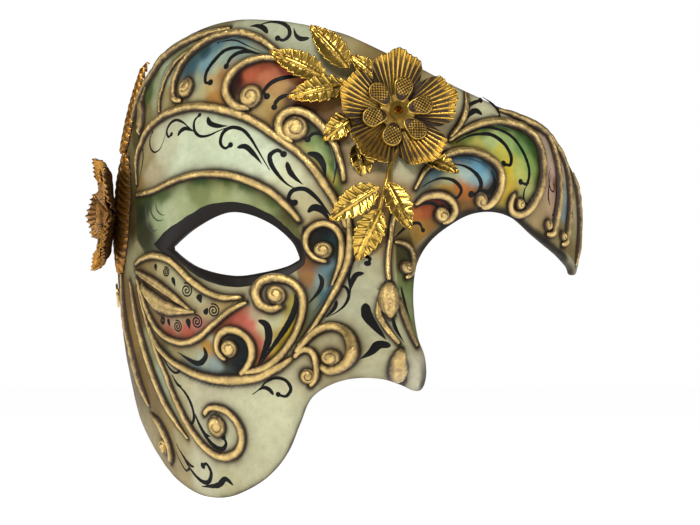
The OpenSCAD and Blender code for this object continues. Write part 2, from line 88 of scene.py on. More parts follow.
def unit(v):
    return v / np.maximum(np.linalg.norm(v, axis=-1, keepdims=True), 1e-9)


def out_dir(u, z):
    e = 0.25
    return unit(np.cross(face(u + e, z) - face(u - e, z), face(u, z + e) - face(u, z - e)))


def hashed(i, j, k, seed):
    h = (i * 374761393 + j * 668265263 + k * 1442695041 + seed * 1274126177) & 0xFFFFFFFF
    h = ((h ^ (h >> 13)) * 1274126177) & 0xFFFFFFFF
    return ((h ^ (h >> 16)) & 0xFFFF) / 32767.5 - 1


def noise(points, size, seed=0):
    """Smooth noise from -1 to 1 at an array of points; size is the width of its lumps."""
    q = np.asarray(points, float) / size
    cell = np.floor(q).astype(np.int64)
    f = q - cell
    f = f * f * (3 - 2 * f)
    total = 0
    for a in (0, 1):
        for b in (0, 1):
            for c in (0, 1):
                weight = (np.where(a, f[..., 0], 1 - f[..., 0]) * np.where(b, f[..., 1], 1 - f[..., 1])
                          * np.where(c, f[..., 2], 1 - f[..., 2]))
                total = total + weight * hashed(cell[..., 0] + a, cell[..., 1] + b, cell[..., 2] + c, seed)
    return total


def flat_noise(u, z, size, seed=0):
    u, z = np.broadcast_arrays(np.asarray(u, float), np.asarray(z, float))
    return noise(np.stack([u, z, np.zeros_like(u)], -1), size, seed)


def skin(u, z, h=0.0):
    """A point h above the slightly uneven hand-laid paper."""
    lumps = 0.16 * flat_noise(u, z, 9, 1) + 0.05 * flat_noise(u, z, 2.6, 2)
    return face(u, z) + out_dir(u, z) * (np.asarray(h) + lumps)[..., None]


def smooth(points, steps):
    """Catmull-Rom curve through a few points."""
    p = np.array(points, float)
    ext = np.vstack([p[:1], p, p[-1:]])
    t = (np.arange(steps) / steps)[:, None]
    parts = []
    for i in range(len(p) - 1):
        a, b, c, d = ext[i], ext[i + 1], ext[i + 2], ext[i + 3]
        parts.append(0.5 * (2 * b + (c - a) * t + (2 * a - 5 * b + 4 * c - d) * t * t
                            + (3 * b - a - 3 * c + d) * t ** 3))
    return np.vstack(parts + [p[-1:]])


# ---- outlines in the plane of (u, z) ----
def inside(poly, pts):
    poly = np.asarray(poly, float)[:, :2]
    u, z = pts[:, 0], pts[:, 1]
    hit = np.zeros(len(pts), bool)
    for (u0, z0), (u1, z1) in zip(poly, np.roll(poly, -1, 0)):
        crosses = (z0 > z) != (z1 > z)
        hit ^= crosses & (u < (u1 - u0) * (z - z0) / ((z1 - z0) if z1 != z0 else 1e-9) + u0)
    return hit


def nearest_on(line, pts):
    """The nearest point of an open line to each point, and its distance."""
    line = np.asarray(line, float)[:, :2]
    best, spot = np.full(len(pts), 1e9), np.zeros((len(pts), 2))
    for a, b in zip(line[:-1], line[1:]):
        d = b - a
        t = np.clip(((pts - a) @ d) / max(d @ d, 1e-9), 0, 1)
        q = a + t[:, None] * d
        dist = np.linalg.norm(pts - q, axis=1)
        near = dist < best
        best[near], spot[near] = dist[near], q[near]
    return spot, best


def closed(line):
    line = np.asarray(line, float)
    return np.vstack([line, line[:1]])


def rgb(code):
    """A colour from its usual six hex digits, as linear light."""
    c = np.array([int(code[i:i + 2], 16) for i in (1, 3, 5)]) / 255
    return np.where(c <= 0.04045, c / 12.92, ((c + 0.055) / 1.055) ** 2.4)


# ---- meshes ----
def add_object(name, data):
    thing = bpy.data.objects.new(name, data)
    bpy.context.scene.collection.objects.link(thing)
    return thing


def recolour(name, material):
    """A CAD piece keeps its shape and takes a new material."""
    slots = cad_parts[name].data.materials
    slots.clear()
    slots.append(material)


def add_mesh(name, co, faces, material, node, colours=None, patina_and_shade=None):
    """A mesh piece from vertices in millimetres and lists of equal-length faces."""
    mesh = bpy.data.meshes.new(name)
    groups = [np.asarray(f, np.int32) for f in (faces if isinstance(faces, list) else [faces]) if len(f)]
    loops = np.concatenate([g.ravel() for g in groups])
    totals = np.concatenate([np.full(len(g), g.shape[1], np.int32) for g in groups])
    mesh.vertices.add(len(co))
    mesh.vertices.foreach_set("co", (np.asarray(co, float) * MM).astype(np.float32).ravel())
    mesh.loops.add(len(loops))
    mesh.loops.foreach_set("vertex_index", loops)
    mesh.polygons.add(len(totals))
    mesh.polygons.foreach_set("loop_start", np.concatenate([[0], np.cumsum(totals)[:-1]]).astype(np.int32))
    mesh.polygons.foreach_set("loop_total", totals)
    mesh.polygons.foreach_set("use_smooth", np.ones(len(totals), bool))
    mesh.update(calc_edges=True)
    mesh.validate()
    if colours is not None:
        attribute = mesh.color_attributes.new("paint", "FLOAT_COLOR", "POINT")
        full = np.concatenate([colours, np.ones((len(colours), 1))], 1).astype(np.float32)
        attribute.data.foreach_set("color", full.ravel())
    if patina_and_shade is not None:
        attribute = mesh.attributes.new("patina_and_shade", "FLOAT", "POINT")
        attribute.data.foreach_set("value", patina_and_shade.astype(np.float32))
    mesh.materials.append(material)
    piece = add_object(name, mesh)
    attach(piece, "root")
    if node:
        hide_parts(node)


def grid_faces(n, m, first=0, wrap=False, flip=False):
    """Quads over n rows of m points; wrap joins the last row to the first."""
    i = np.arange(n if wrap else n - 1)[:, None]
    j = np.arange(m - 1)[None, :]
    a = first + i * m + j
    b = first + ((i + 1) % n) * m + j
    quads = np.stack([a, b, b + 1, a + 1], -1).reshape(-1, 4)
    return quads[:, ::-1] if flip else quads


def slab(top, bottom, wrap=False):
    """A closed sheet between two grids of points (n, m, 3); returns vertices and quads."""
    n, m = top.shape[:2]
    co = np.concatenate([top.reshape(-1, 3), bottom.reshape(-1, 3)])
    faces = [grid_faces(n, m, 0, wrap), grid_faces(n, m, n * m, wrap, flip=True)]
    rims = [[(i * m, ((i + 1) % n) * m) for i in range(n if wrap else n - 1)],
            [(((i + 1) % n) * m + m - 1, i * m + m - 1) for i in range(n if wrap else n - 1)]]
    if not wrap:
        rims.append([(j + 1, j) for j in range(m - 1)])
        rims.append([((n - 1) * m + j, (n - 1) * m + j + 1) for j in range(m - 1)])
    for rim in rims:
        faces.append(np.array([(b, a, a + n * m, b + n * m) for a, b in rim]))
    return co, faces


class Lump:
    """Several bits gathered into one mesh, with a value per vertex for tarnish and painted shade."""

    def __init__(self):
        self.co, self.faces, self.value, self.count = [], {}, [], 0

    def add(self, co, faces, value=0.0):
        for f in (faces if isinstance(faces, list) else [faces]):
            f = np.asarray(f)
            if len(f):
                self.faces.setdefault(f.shape[1], []).append(f + self.count)
        co = np.asarray(co).reshape(-1, 3)
        self.co.append(co)
        self.value.append(np.full(len(co), value) if np.ndim(value) == 0 else value.ravel())
        self.count += len(co)

    def place(self, name, material, slot, node=None):
        faces = [np.vstack(f) for f in self.faces.values()]
        add_mesh(name, np.vstack(self.co), faces, material, node, patina_and_shade=np.concatenate(self.value))


# ---- relief strands: each point is (u, z, width); each boss is (u, z, radius) ----
RELIEF = {
    "top_edge_rim": ([[(-56, 73.5, 1.2), (-70, 71.5, 2.6), (-84, 68, 3), (-95, 62, 3), (-104, 54, 3),
        (-109, 45, 2.6), (-112, 34, 1.4)]], []),
    "forehead_arch": ([[(-93, 21, 1), (-95, 31, 2.2), (-89, 40, 2.8), (-78, 44.5, 3), (-65, 46, 3),
        (-53, 44, 3), (-42, 40, 3), (-34, 34.5, 2.8), (-25, 27, 2.6), (-18, 18, 2.6), (-13, 10, 2.2),
        (-11, 4, 1.4)]], []),
    "lid_line": ([[(-93, 17.5, 1.2), (-84, 17.8, 2), (-76, 19.6, 2.2), (-69, 21.4, 2.4), (-59, 22.6, 2.6),
        (-48, 21.6, 2.6), (-37, 17.6, 2.4), (-29, 11.8, 2.2), (-24.5, 6.4, 1.6)]], []),
    "forehead_scroll_outer": ([[(-35, 63.5, 2), (-43, 68.8, 2.6), (-51, 71.2, 2.8), (-60, 71, 2.8),
        (-68, 68.2, 2.8), (-74.4, 63.8, 2.8), (-77.4, 58.6, 2.8), (-77.8, 53.2, 2.6), (-76, 49.4, 2.2),
        (-72.6, 48.6, 1.8)]], [(-71, 53, 3.6)]),
    "forehead_scroll_middle": ([[(-34.5, 61, 2), (-41.6, 61.6, 2.8), (-48.4, 59.4, 3.2), (-52.2, 55.2, 3.4),
        (-52.8, 50.6, 3.4), (-50.4, 46.8, 3.2), (-47, 44.6, 3), (-43.4, 44.2, 2.2)]], [(-43.2, 48.2, 4.2)]),
    "forehead_scroll_inner": ([[(-12.5, 19, 1.4), (-13.4, 25, 2.2), (-15, 31, 2.6), (-18.5, 37, 3),
        (-23, 41.4, 3.2), (-28, 43, 3.2), (-31.6, 41.4, 3.4), (-32.8, 38, 3.4), (-31.4, 34.4, 3),
        (-28.2, 32.4, 2)]], [(-27.4, 36.8, 4.4)]),
    "temple_panel_strand": ([[(-72, 67.5, 1), (-79.5, 64, 1.6), (-84, 58, 1.8), (-85.5, 51, 1.6),
        (-84, 45.5, 1)]], []),
    "temple_drop": ([[(-101, 58, 1), (-100.5, 51, 2.4), (-98.5, 46.5, 5), (-97, 42.5, 5),
        (-96.5, 38.5, 1.6)]], []),
    "eye_corner_scroll": ([[(-15.5, -15, 1), (-12.8, -7, 1.8), (-12.2, -0.5, 2.2), (-13.8, 3.8, 2.4),
        (-17.4, 5.6, 2.4), (-20.8, 4.4, 2.4), (-22.6, 1.2, 2.2), (-22.2, -3, 2), (-19.8, -6.2, 1.8),
        (-16.8, -7, 1.4)]], [(-17.6, -3.2, 2.9)]),
    "nose_side_border": ([[(-10.5, 8, 1.4), (-9.8, 1, 2.2), (-10.4, -6, 2.2), (-12.8, -13, 2.2),
        (-16.6, -20.5, 2), (-21.4, -28, 1.8), (-27, -35, 1.2)]], []),
    "under_eye_scroll": ([[(-47, -43.6, 1.6), (-40, -42.4, 2.6), (-34.6, -39.4, 2.6), (-29.4, -33.6, 2.4),
        (-25.8, -26.6, 2.4), (-24.6, -19.6, 2.8), (-26, -15.6, 3), (-29.4, -13.2, 3.2), (-33.8, -12.6, 3.4),
        (-37.8, -14.2, 3.4), (-39.6, -17.6, 3.4), (-38.4, -21.2, 3.2), (-35, -23, 2.8),
        (-31.4, -21.8, 2.2)]], [(-33, -18.2, 3.3)]),
    "under_eye_wave": ([[(-93, -6.4, 1.4), (-86, -4.4, 2.2), (-79, -4, 2.6), (-72.6, -5.6, 2.6),
        (-67.6, -9, 2.6), (-62.6, -13.2, 2.6), (-57, -16.8, 2.6), (-51, -18.8, 2.4), (-44.5, -18.8, 1.6)]],
        []),
    "cheek_panel_border": ([[(-43, -20.4, 1.4), (-49.4, -23.6, 2), (-56, -28.2, 2.2), (-62, -32, 2.4),
        (-68.4, -33.6, 2.4), (-75.6, -32.2, 2.4), (-82, -28.4, 2.2), (-86.4, -22.6, 2), (-89.8, -16, 1.8),
        (-92.5, -11, 1.2)]], []),
    "cheek_leaf_core": ([[(-93, -8.8, 1.2), (-87, -10.4, 2.6), (-80.5, -13, 3.4), (-74.5, -16.2, 3.2),
        (-69, -19.6, 2.4), (-64.4, -22.8, 1)], [(-89, -13, 1.4), (-85, -16.6, 4.4), (-80, -19.8, 6.4),
        (-74.5, -21.8, 5.4), (-68.5, -23, 3), (-63, -23.4, 1)]], []),
    "cheek_scroll": ([[(-47.6, -44.4, 1.8), (-44.6, -41.6, 2.6), (-42.4, -37.6, 2.8), (-43, -33.2, 2.8),
        (-46.4, -30.2, 2.8), (-50.6, -29.6, 2.8), (-54, -32, 2.6), (-54.8, -36.2, 2.4),
        (-52.4, -39.4, 1.8)]], [(-50.4, -35.6, 3)]),
    "cheek_lower_border": ([[(-88, -26, 1), (-82.6, -34.2, 2), (-75.4, -39.6, 2.4), (-67.4, -43, 2.8),
        (-59.6, -45.2, 3.2), (-51, -46, 3.4), (-42, -45.2, 3.4), (-34.8, -42.2, 3), (-29, -38.6, 1.8)]],
        []),
    "nose_curl_large": ([[(-28, -37, 1.8), (-23.6, -32.2, 2.6), (-19.4, -29.2, 3), (-15.4, -28.6, 3.2),
        (-12.4, -30.6, 3.4), (-11.4, -34.4, 3.4), (-12, -38.6, 3.4), (-14.4, -41.6, 3.2),
        (-17.8, -42.8, 2.8), (-20.2, -41, 2)]], [(-17.2, -38.6, 2.7)]),
    "nose_curl_small": ([[(-28.6, -38.6, 1.6), (-25.4, -36.2, 2.2), (-22.4, -37, 2.4), (-21.2, -41, 2.4),
        (-21.6, -45, 2.2), (-23.6, -48, 1.8)]], [(-24.2, -44.6, 2.6)]),
    "nose_ridge_line": ([[(3, 16, 1), (2.2, 8, 1.6), (0.6, -1, 1.6), (-0.4, -8, 1.6), (-0.4, -13.6, 1.6)]],
        []),
    "nose_drop": ([[(-0.4, -14.6, 3), (-0.6, -18, 6), (-0.8, -21.6, 6.4), (-0.8, -24.4, 4), (-0.8, -26, 2)],
        [(-3.4, -20, 1), (-3.6, -25, 1.8), (-1.8, -30, 1.8), (1, -34.4, 1.4)], [(2.4, -20, 1),
        (3.2, -25, 1.8), (5, -30, 1.8), (7.6, -35, 1.4)]], []),
    "nose_tip_lobe": ([[(1.6, -36, 2), (0.8, -39.4, 5), (1.6, -43, 6.4), (3.4, -46.4, 4)]], []),
    "bridge_scroll": ([[(2.4, -1, 1.2), (5.2, -1.4, 1.8), (7.8, -3.2, 2), (8.7, -6.8, 2), (7.8, -10.8, 2),
        (5.4, -12.8, 1.6)]], [(5.4, -9.4, 2.2)]),
    "brow_scroll_red": ([[(9.4, 11.8, 1.2), (13, 14.6, 2.4), (18, 15.4, 2.8), (21.6, 13.8, 2.8),
        (23.2, 10.6, 2.8), (22, 7.8, 2.4), (19.4, 6.4, 1.8)]], [(18.8, 9, 2.7)]),
    "brow_scroll_blue": ([[(9, 16.6, 1), (11.8, 22, 1.6), (16.4, 26.2, 2.2), (22.4, 29.4, 2.6),
        (29.4, 30.2, 2.8), (35.6, 28.2, 3), (39.2, 24.6, 3), (39.8, 20.6, 3), (38.6, 16.4, 2.8),
        (36.2, 13.4, 2.6), (33, 12.2, 2)]], [(32.4, 14.6, 2.4)]),
    "brow_scroll_green": ([[(21.6, 33.6, 1.2), (27.4, 37.4, 2.2), (34.6, 40.4, 2.6), (43, 41.6, 3),
        (52, 40.6, 3), (58.2, 37.8, 3), (61.2, 33, 3), (61.4, 27.2, 3), (59.2, 21, 3), (56, 15.6, 3),
        (52.2, 11.6, 3), (48.2, 10.4, 2.8), (45, 12, 2.6), (44.6, 15, 2.2), (46.4, 17, 1.6)], [(30, 51, 1),
        (29.2, 45.4, 2), (26.4, 39.8, 2.2), (22.2, 34.8, 1.6)]], [(48.6, 13.9, 1.9)]),
    "wing_top_rim": ([[(43, 45.6, 1), (48, 44.8, 2.2), (54, 43.2, 2.6), (61, 41.6, 2.8), (67.6, 39.2, 2.6),
        (73.4, 35.6, 2.4), (78.6, 32, 2), (83.6, 29, 1.2)]], []),
    "wing_stripe_front": ([[(66, 40, 1.6), (70, 35.6, 2.6), (72, 28, 3), (71.4, 19.6, 3.2), (69.4, 11, 3.4),
        (67, 5, 3), (63.4, 4.2, 2)]], [(63.6, 7.4, 2)]),
    "wing_stripe_middle": ([[(77, 33.6, 1.6), (80.4, 28, 2.6), (81.4, 20, 3), (79.8, 11, 3.2),
        (76.6, 2.6, 3), (73.4, 1, 1.8)]], [(73.6, 4, 1.7)]),
    "wing_stripe_back": ([[(88, 27.4, 1.6), (93, 21.6, 3), (95, 14, 3.4), (93.8, 6, 3.4), (91, -1.6, 2.8),
        (89.6, -5.6, 1)]], []),
    "jaw_ribbon_back": ([[(-108, -8, 1.4), (-108.4, -20, 2.8), (-106, -32, 3.2), (-102.4, -42, 3.2),
        (-98.6, -51, 2.4), (-97, -55, 1)]], []),
    "jaw_ribbon_middle": ([[(-98.5, -12, 1.2), (-95, -25, 2.4), (-91, -37, 2.8), (-86.4, -48, 2.8),
        (-80.6, -58, 2.4), (-74.6, -65.6, 1)]], []),
    "jaw_ribbon_front": ([[(-92.5, -14, 1), (-87, -28, 1.6), (-81, -42, 2), (-76.4, -53, 2.2),
        (-71.2, -62.6, 2.6), (-65, -69.2, 2.8), (-58.2, -71.4, 3), (-52, -69.6, 3.2), (-49.2, -65, 3),
        (-50.2, -59.8, 2.8), (-54.4, -56, 2.6), (-60, -55, 2.4), (-64, -57.4, 1.8)]], [(-59, -61.2, 3.8)]),
    "jaw_scroll": ([[(-97, -57.5, 1.2), (-91.6, -60.4, 2.8), (-88, -65.6, 3.2), (-87.2, -71, 3),
        (-89.8, -73.8, 2.2)]], [(-91.6, -68.6, 2.8)]),
}

# ribs of the shell: (u, z) on the lower edge and (u, z) on the upper edge
RIBS = [(-130, -20, -130, 4), (-129, -38, -129, 16), (-121, -53, -125, 30), (-110, -64, -118, 44),
    (-98, -74, -109, 56), (-86, -81, -99, 64), (-74, -84.5, -88, 69.5), (-61, -84.5, -77, 72.5),
    (-49, -81, -68, 74.5), (-40, -76, -62, 75.5), (-33, -69, -57, 76), (-28, -60, -52, 76.2),
    (-23, -51, -47, 76), (-14, -46, -42, 75.5), (-4, -45.5, -37, 75), (4, -47.5, -33, 74.5),
    (11, -49.5, -29, 73.8), (12.3, -45, -25, 73), (9, -35, -13, 70), (8, -22, -3, 65.8), (9, -12, 5, 62),
    (11.5, -5, 12, 59), (16, 1, 19, 55.8), (22.5, 6, 26, 52.6), (30, 9.8, 34, 49.5), (38, 10.8, 42, 46.8),
    (47, 9, 51, 45), (57, 4, 61, 43.2), (68, -0.5, 70, 39.8), (79, -4.5, 77.5, 34.5),
    (85.5, -6.6, 82, 31.6), (90, -8.6, 86.5, 29.3), (94.5, -6, 91, 27.4), (101, -2, 97, 24.8),
    (108, 3, 104, 21.5), (113, 8, 111, 16)]
UPPER_LID = [(-73, -1.5), (-61, 5.3), (-47, 10), (-35, 6.8), (-27, 0.5), (-24.3, -6)]
LOWER_LID = [(-24.3, -6), (-29, -8.6), (-37, -10.6), (-47, -11.5), (-61, -8.3), (-73, -1.5)]
EYELETS = [(-124.5, -16), (106, 8)]
FLOWER_AT, TEMPLE_AT = (4, 41.6), (-114, 12)


# ---- materials ----
def new_material(name, **settings):
    material = bpy.data.materials.new(name)
    material.use_nodes = True
    tree = material.node_tree
    shader = tree.nodes["Principled BSDF"]
    for key, value in settings.items():
        shader.inputs[key.replace("_", " ")].default_value = value
    return material, tree, shader


def node(tree, kind, **settings):
    n = tree.nodes.new(kind)
    for key, value in settings.items():
        if hasattr(n, key):
            setattr(n, key, value)
        else:
            n.inputs[key.replace("_", " ")].default_value = value
    return n


def noise_node(tree, scale, detail=3.0, rough=0.55):
    place = node(tree, "ShaderNodeTexCoord")
    texture = node(tree, "ShaderNodeTexNoise", Scale=scale, Detail=detail, Roughness=rough)
    tree.links.new(place.outputs["Object"], texture.inputs["Vector"])
    return texture.outputs["Fac"]


def remap(tree, source, low, high, to_low=0.0, to_high=1.0):
    n = node(tree, "ShaderNodeMapRange")
    n.inputs["From Min"].default_value, n.inputs["From Max"].default_value = low, high
    n.inputs["To Min"].default_value, n.inputs["To Max"].default_value = to_low, to_high
    tree.links.new(source, n.inputs["Value"])
    return n.outputs["Result"]


def maths(tree, kind, a, b):
    n = node(tree, "ShaderNodeMath", operation=kind)
    for k, value in enumerate((a, b)):
        if isinstance(value, (int, float)):
            n.inputs[k].default_value = value
        else:
            tree.links.new(value, n.inputs[k])
    return n.outputs[0]


def mix(tree, factor, a, b, kind="MIX"):
    n = node(tree, "ShaderNodeMix", data_type="RGBA", blend_type=kind)
    for socket, value in ((n.inputs[0], factor), (n.inputs[6], a), (n.inputs[7], b)):
        if isinstance(value, (int, float)):
            socket.default_value = value
        elif isinstance(value, (tuple, list, np.ndarray)):
            socket.default_value = (*value, 1.0) if len(value) == 3 else value
        else:
            tree.links.new(value, socket)
    return n.outputs[2]


def bump(tree, shader, height, distance, strength=1.0):
    n = node(tree, "ShaderNodeBump", Strength=strength, Distance=distance)
    tree.links.new(height, n.inputs["Height"])
    tree.links.new(n.outputs["Normal"], shader.inputs["Normal"])


def painted_paper():
    material, tree, shader = new_material("painted_paper", Specular_IOR_Level=0.12)
    paint = node(tree, "ShaderNodeAttribute", attribute_name="paint").outputs["Color"]
    cloud = remap(tree, noise_node(tree, 260, 5, 0.65), 0.3, 0.75, 0.69, 0.84)
    grey = node(tree, "ShaderNodeCombineColor")
    for k in range(3):
        tree.links.new(cloud, grey.inputs[k])
    speck = remap(tree, noise_node(tree, 1500, 2, 0.5), 0.66, 0.74)
    toned = mix(tree, 1.0, paint, grey.outputs[0], "MULTIPLY")
    dirty = mix(tree, maths(tree, "MULTIPLY", speck, 0.45), toned, (0.09, 0.06, 0.03))
    tree.links.new(dirty, shader.inputs["Base Color"])
    tree.links.new(remap(tree, noise_node(tree, 420, 3), 0.3, 0.7, 0.38, 0.6), shader.inputs["Roughness"])
    bump(tree, shader, noise_node(tree, 900, 4, 0.6), 0.00012, 0.55)
    return material


DULL_SHARE = 0.62       # how bright the duller clouds of a metal are


def leafed_metal(name, bright, deep, rough, rub, metal, lump, size, blotches=0.9):
    """Metal leaf or brass, dark where the vertex value is high (tarnish in hollows together with painted
    shade) and in blotches of tarnish.
    """
    material, tree, shader = new_material(name, Specular_IOR_Level=0.5)
    blotch = noise_node(tree, 620, 4, 0.6)
    uneven = maths(tree, "MULTIPLY", maths(tree, "SUBTRACT", blotch, 0.5), blotches)
    patina_and_shade = node(tree, "ShaderNodeAttribute", attribute_name="patina_and_shade").outputs["Fac"]
    level = maths(tree, "ADD", patina_and_shade, uneven)
    dark = remap(tree, level, rub[0], rub[1])
    shade = mix(tree, remap(tree, noise_node(tree, 240, 3), 0.35, 0.65), bright,
                DULL_SHARE * bright)
    tree.links.new(mix(tree, dark, shade, deep), shader.inputs["Base Color"])
    tree.links.new(remap(tree, dark, 0, 1, metal[0], metal[1]), shader.inputs["Metallic"])
    tree.links.new(remap(tree, dark, 0, 1, rough[0], rough[1]), shader.inputs["Roughness"])
    bump(tree, shader, noise_node(tree, size, 4, 0.6), lump, 0.8)
    return material


PAPER = painted_paper()
GOLD_LEAF = leafed_metal("gilded_gesso", rgb("#d0b272"), (0.03, 0.014, 0.005), (0.28, 0.6), (0.1, 0.8),
                         (0.9, 0.1), 0.0004, 1300)
BRASS = leafed_metal("bright_brass", rgb("#d8b050"), (0.03, 0.014, 0.004), (0.24, 0.5), (0.2, 0.85),
                     (1.0, 0.5), 0.00005, 900, 0.4)
OLD_BRASS = leafed_metal("antique_brass", rgb("#b07c34"), (0.03, 0.012, 0.004), (0.28, 0.55), (0.3, 1.0),
                         (0.95, 0.4), 0.0002, 900)
BLACK = new_material("black_line_paint", Base_Color=(0.006, 0.006, 0.006, 1), Roughness=0.5,
                     Specular_IOR_Level=0.08)[0]
LID_BLACK = new_material("lid_black_paint", Base_Color=(0.007, 0.005, 0.004, 1), Roughness=0.42,
                         Specular_IOR_Level=0.14)[0]


# ---- relief strands on the shell ----
def arc_length(path):
    return np.concatenate([[0], np.cumsum(np.linalg.norm(np.diff(path[:, :2], axis=0), axis=1))])


def even_path(points, step):
    """The smooth curve through the points, at even steps."""
    path = smooth(points, 24)
    s = arc_length(path)
    t = np.linspace(0, s[-1], max(4, int(s[-1] / step) + 1))
    return np.stack([np.interp(t, s, path[:, k]) for k in range(path.shape[1])], 1), t


def headings(path):
    d = np.gradient(path[:, :2], axis=0)
    return d / np.maximum(np.linalg.norm(d, axis=1, keepdims=True), 1e-9)


SINK = 0.12                    # how far a strand's sides reach below the paper
BOSS_RISE, BOSS_COIL = 2.2, 1.6
CREST = 0.35                   # depth of the groove along the back of a leafy strand
LEAFY = ("cheek_leaf_core", "nose_drop", "nose_tip_lobe")


def add_strand(lump, points, seed, crest=0.0):
    """A hand-piped half-round bead. crest adds a groove along its back."""
    path, s = even_path(points, 1.2 / FINE)
    t = headings(path)
    w = np.maximum(0.5, path[:, 2])
    along = np.stack([s, np.full_like(s, seed * 7.3), np.zeros_like(s)], 1)
    from_end = np.minimum(s, s[-1] - s)
    round_off = np.sqrt(np.clip((from_end + 0.12) / np.maximum(0.5 * w, 0.4), 0, 1))
    h = np.minimum(STRAND_H_MAX, w * STRAND_RISE) * (1 + 0.10 * noise(along, 2.2, 5)) * round_off
    w = w * (1 + 0.08 * noise(along, 3.1, 4)) * (0.35 + 0.65 * round_off)
    drift = 0.12 * noise(along, 4.0, 6)
    a = np.linspace(0, np.pi, 5 + 3 * FINE)[None, :]
    across = np.cos(a) * w[:, None] / 2 + drift[:, None]
    u = path[:, :1] - t[:, 1:2] * across
    z = path[:, 1:2] + t[:, 0:1] * across
    groove = crest * hump(np.cos(a), 0.22)
    co = skin(u, z, h[:, None] * (np.sin(a) ** 0.8 - groove) - SINK)
    co = co + out_dir(u, z) * (0.10 * noise(co, 1.1, 8) * np.sin(a))[..., None]
    # darker down both flanks and in the back groove: antiquing at the foot together with painted shade on the
    # sides, with the top left bright
    lump.add(co, grid_faces(*u.shape, flip=True), np.abs(np.cos(a)) ** 1.6 + groove + 0 * u)


def add_boss(lump, u0, z0, radius, turn):
    """The rounded eye of a scroll, with a coiled groove."""
    r = np.linspace(0, 1, 4 + 5 * FINE)[None, :]
    a = np.linspace(0, 2 * np.pi, 24 * FINE, endpoint=False)[:, None]
    spiral = hump(np.sin((a * turn + 2 * np.pi * BOSS_COIL * r) / 2), 0.42)
    groove = spiral * ease((r - 0.12) * 5) * (1 - r ** 6)
    u = u0 + radius * r * np.cos(a)
    z = z0 + radius * r * np.sin(a)
    h = BOSS_RISE * (1 - r ** 2.4) ** 0.5 - 0.55 * groove - 0.15
    # darker round the foot and in the coiled groove: antiquing in the hollows together with painted shade
    lump.add(skin(u, z, h), grid_faces(*u.shape, wrap=True), 0.95 * r ** 4 + 0.55 * groove)


for index, (name, (strands, bosses)) in enumerate(RELIEF.items()):
    gilt = Lump()
    for k, points in enumerate(strands):
        add_strand(gilt, points, index + 10 * k, CREST if name in LEAFY else 0.0)
    for k, (u0, z0, radius) in enumerate(bosses):
        add_boss(gilt, u0, z0, radius, turn=-1 if index % 2 else 1)
    gilt.place(name, GOLD_LEAF, "gilded_gesso", name)


# ---- what is painted where ----
def along(name, first=0, last=None):
    """The (u, z) points of a strand, from its point number first up to number last."""
    return [p[:2] for p in RELIEF[name][0][0][first:last]]


def back_along(name, first=0, last=None):
    return along(name, first, last)[::-1]


def line_of(name):
    return smooth(along(name), 4)


# the spot colours here and in PANELS are the paint as it looks under light, so the light and shade on the
# mask are painted in with the paint
BASE = [(-100, 60, "#4a4a26"), (-89, 57, "#9e9b7d"), (-91, 45, "#6d5f39"), (-75, 67, "#8a8058"),
    (-60, 74, "#8f8b66"), (-50, 75, "#adb092"), (-38, 72, "#b4b898"), (-26, 72, "#b4b898"),
    (-12, 68, "#a39466"), (0, 62, "#8f7a48"), (10, 58, "#9a8a5c"), (20, 50, "#a89a74"), (30, 47, "#bab58f"),
    (38, 45.5, "#c3c19c"), (6, 28, "#b9b592"), (-6, 25, "#b09a72"), (0, 12, "#9a7c4a"), (12, 32, "#b3a078"),
    (-6, 2, "#9c8452"), (-9, -8, "#b0ad8a"), (-8, -20, "#b3b292"), (-5, -30, "#b3b28e"),
    (-14, -38, "#9c8c62"), (-6, -40, "#b0ac88"), (-14, -34, "#a8a27c"), (9, -46, "#b9b498"),
    (-41, -59, "#bdbd9a"), (-34, -54, "#bfbe9a"), (-28, -47, "#b5b08c"), (-60, -66, "#b9b794"),
    (-52, -75, "#b5b290"), (-70, -76, "#b8b495"), (-57, -80, "#b0ab84"), (-78, -63, "#a39a72"),
    (-66, -54, "#b7b292"), (-86, -62, "#8c7c54"), (-84, -74, "#9c8d66"), (-75, -52, "#a9a27c"),
    (-100, -40, "#6b5a34"), (-110, -30, "#5a4526"), (-120, -20, "#4c3a20"), (-108, 5, "#5c4424"),
    (-94, 8, "#3c3018"), (-90, -2, "#8a8560"), (-84, -1, "#8f8d68"), (100, 15, "#a8a283"),
    (108, 10, "#a9a585"), (96, 20, "#8d8058"), (95, 0, "#a9a585"), (60, 42, "#8a7844")]

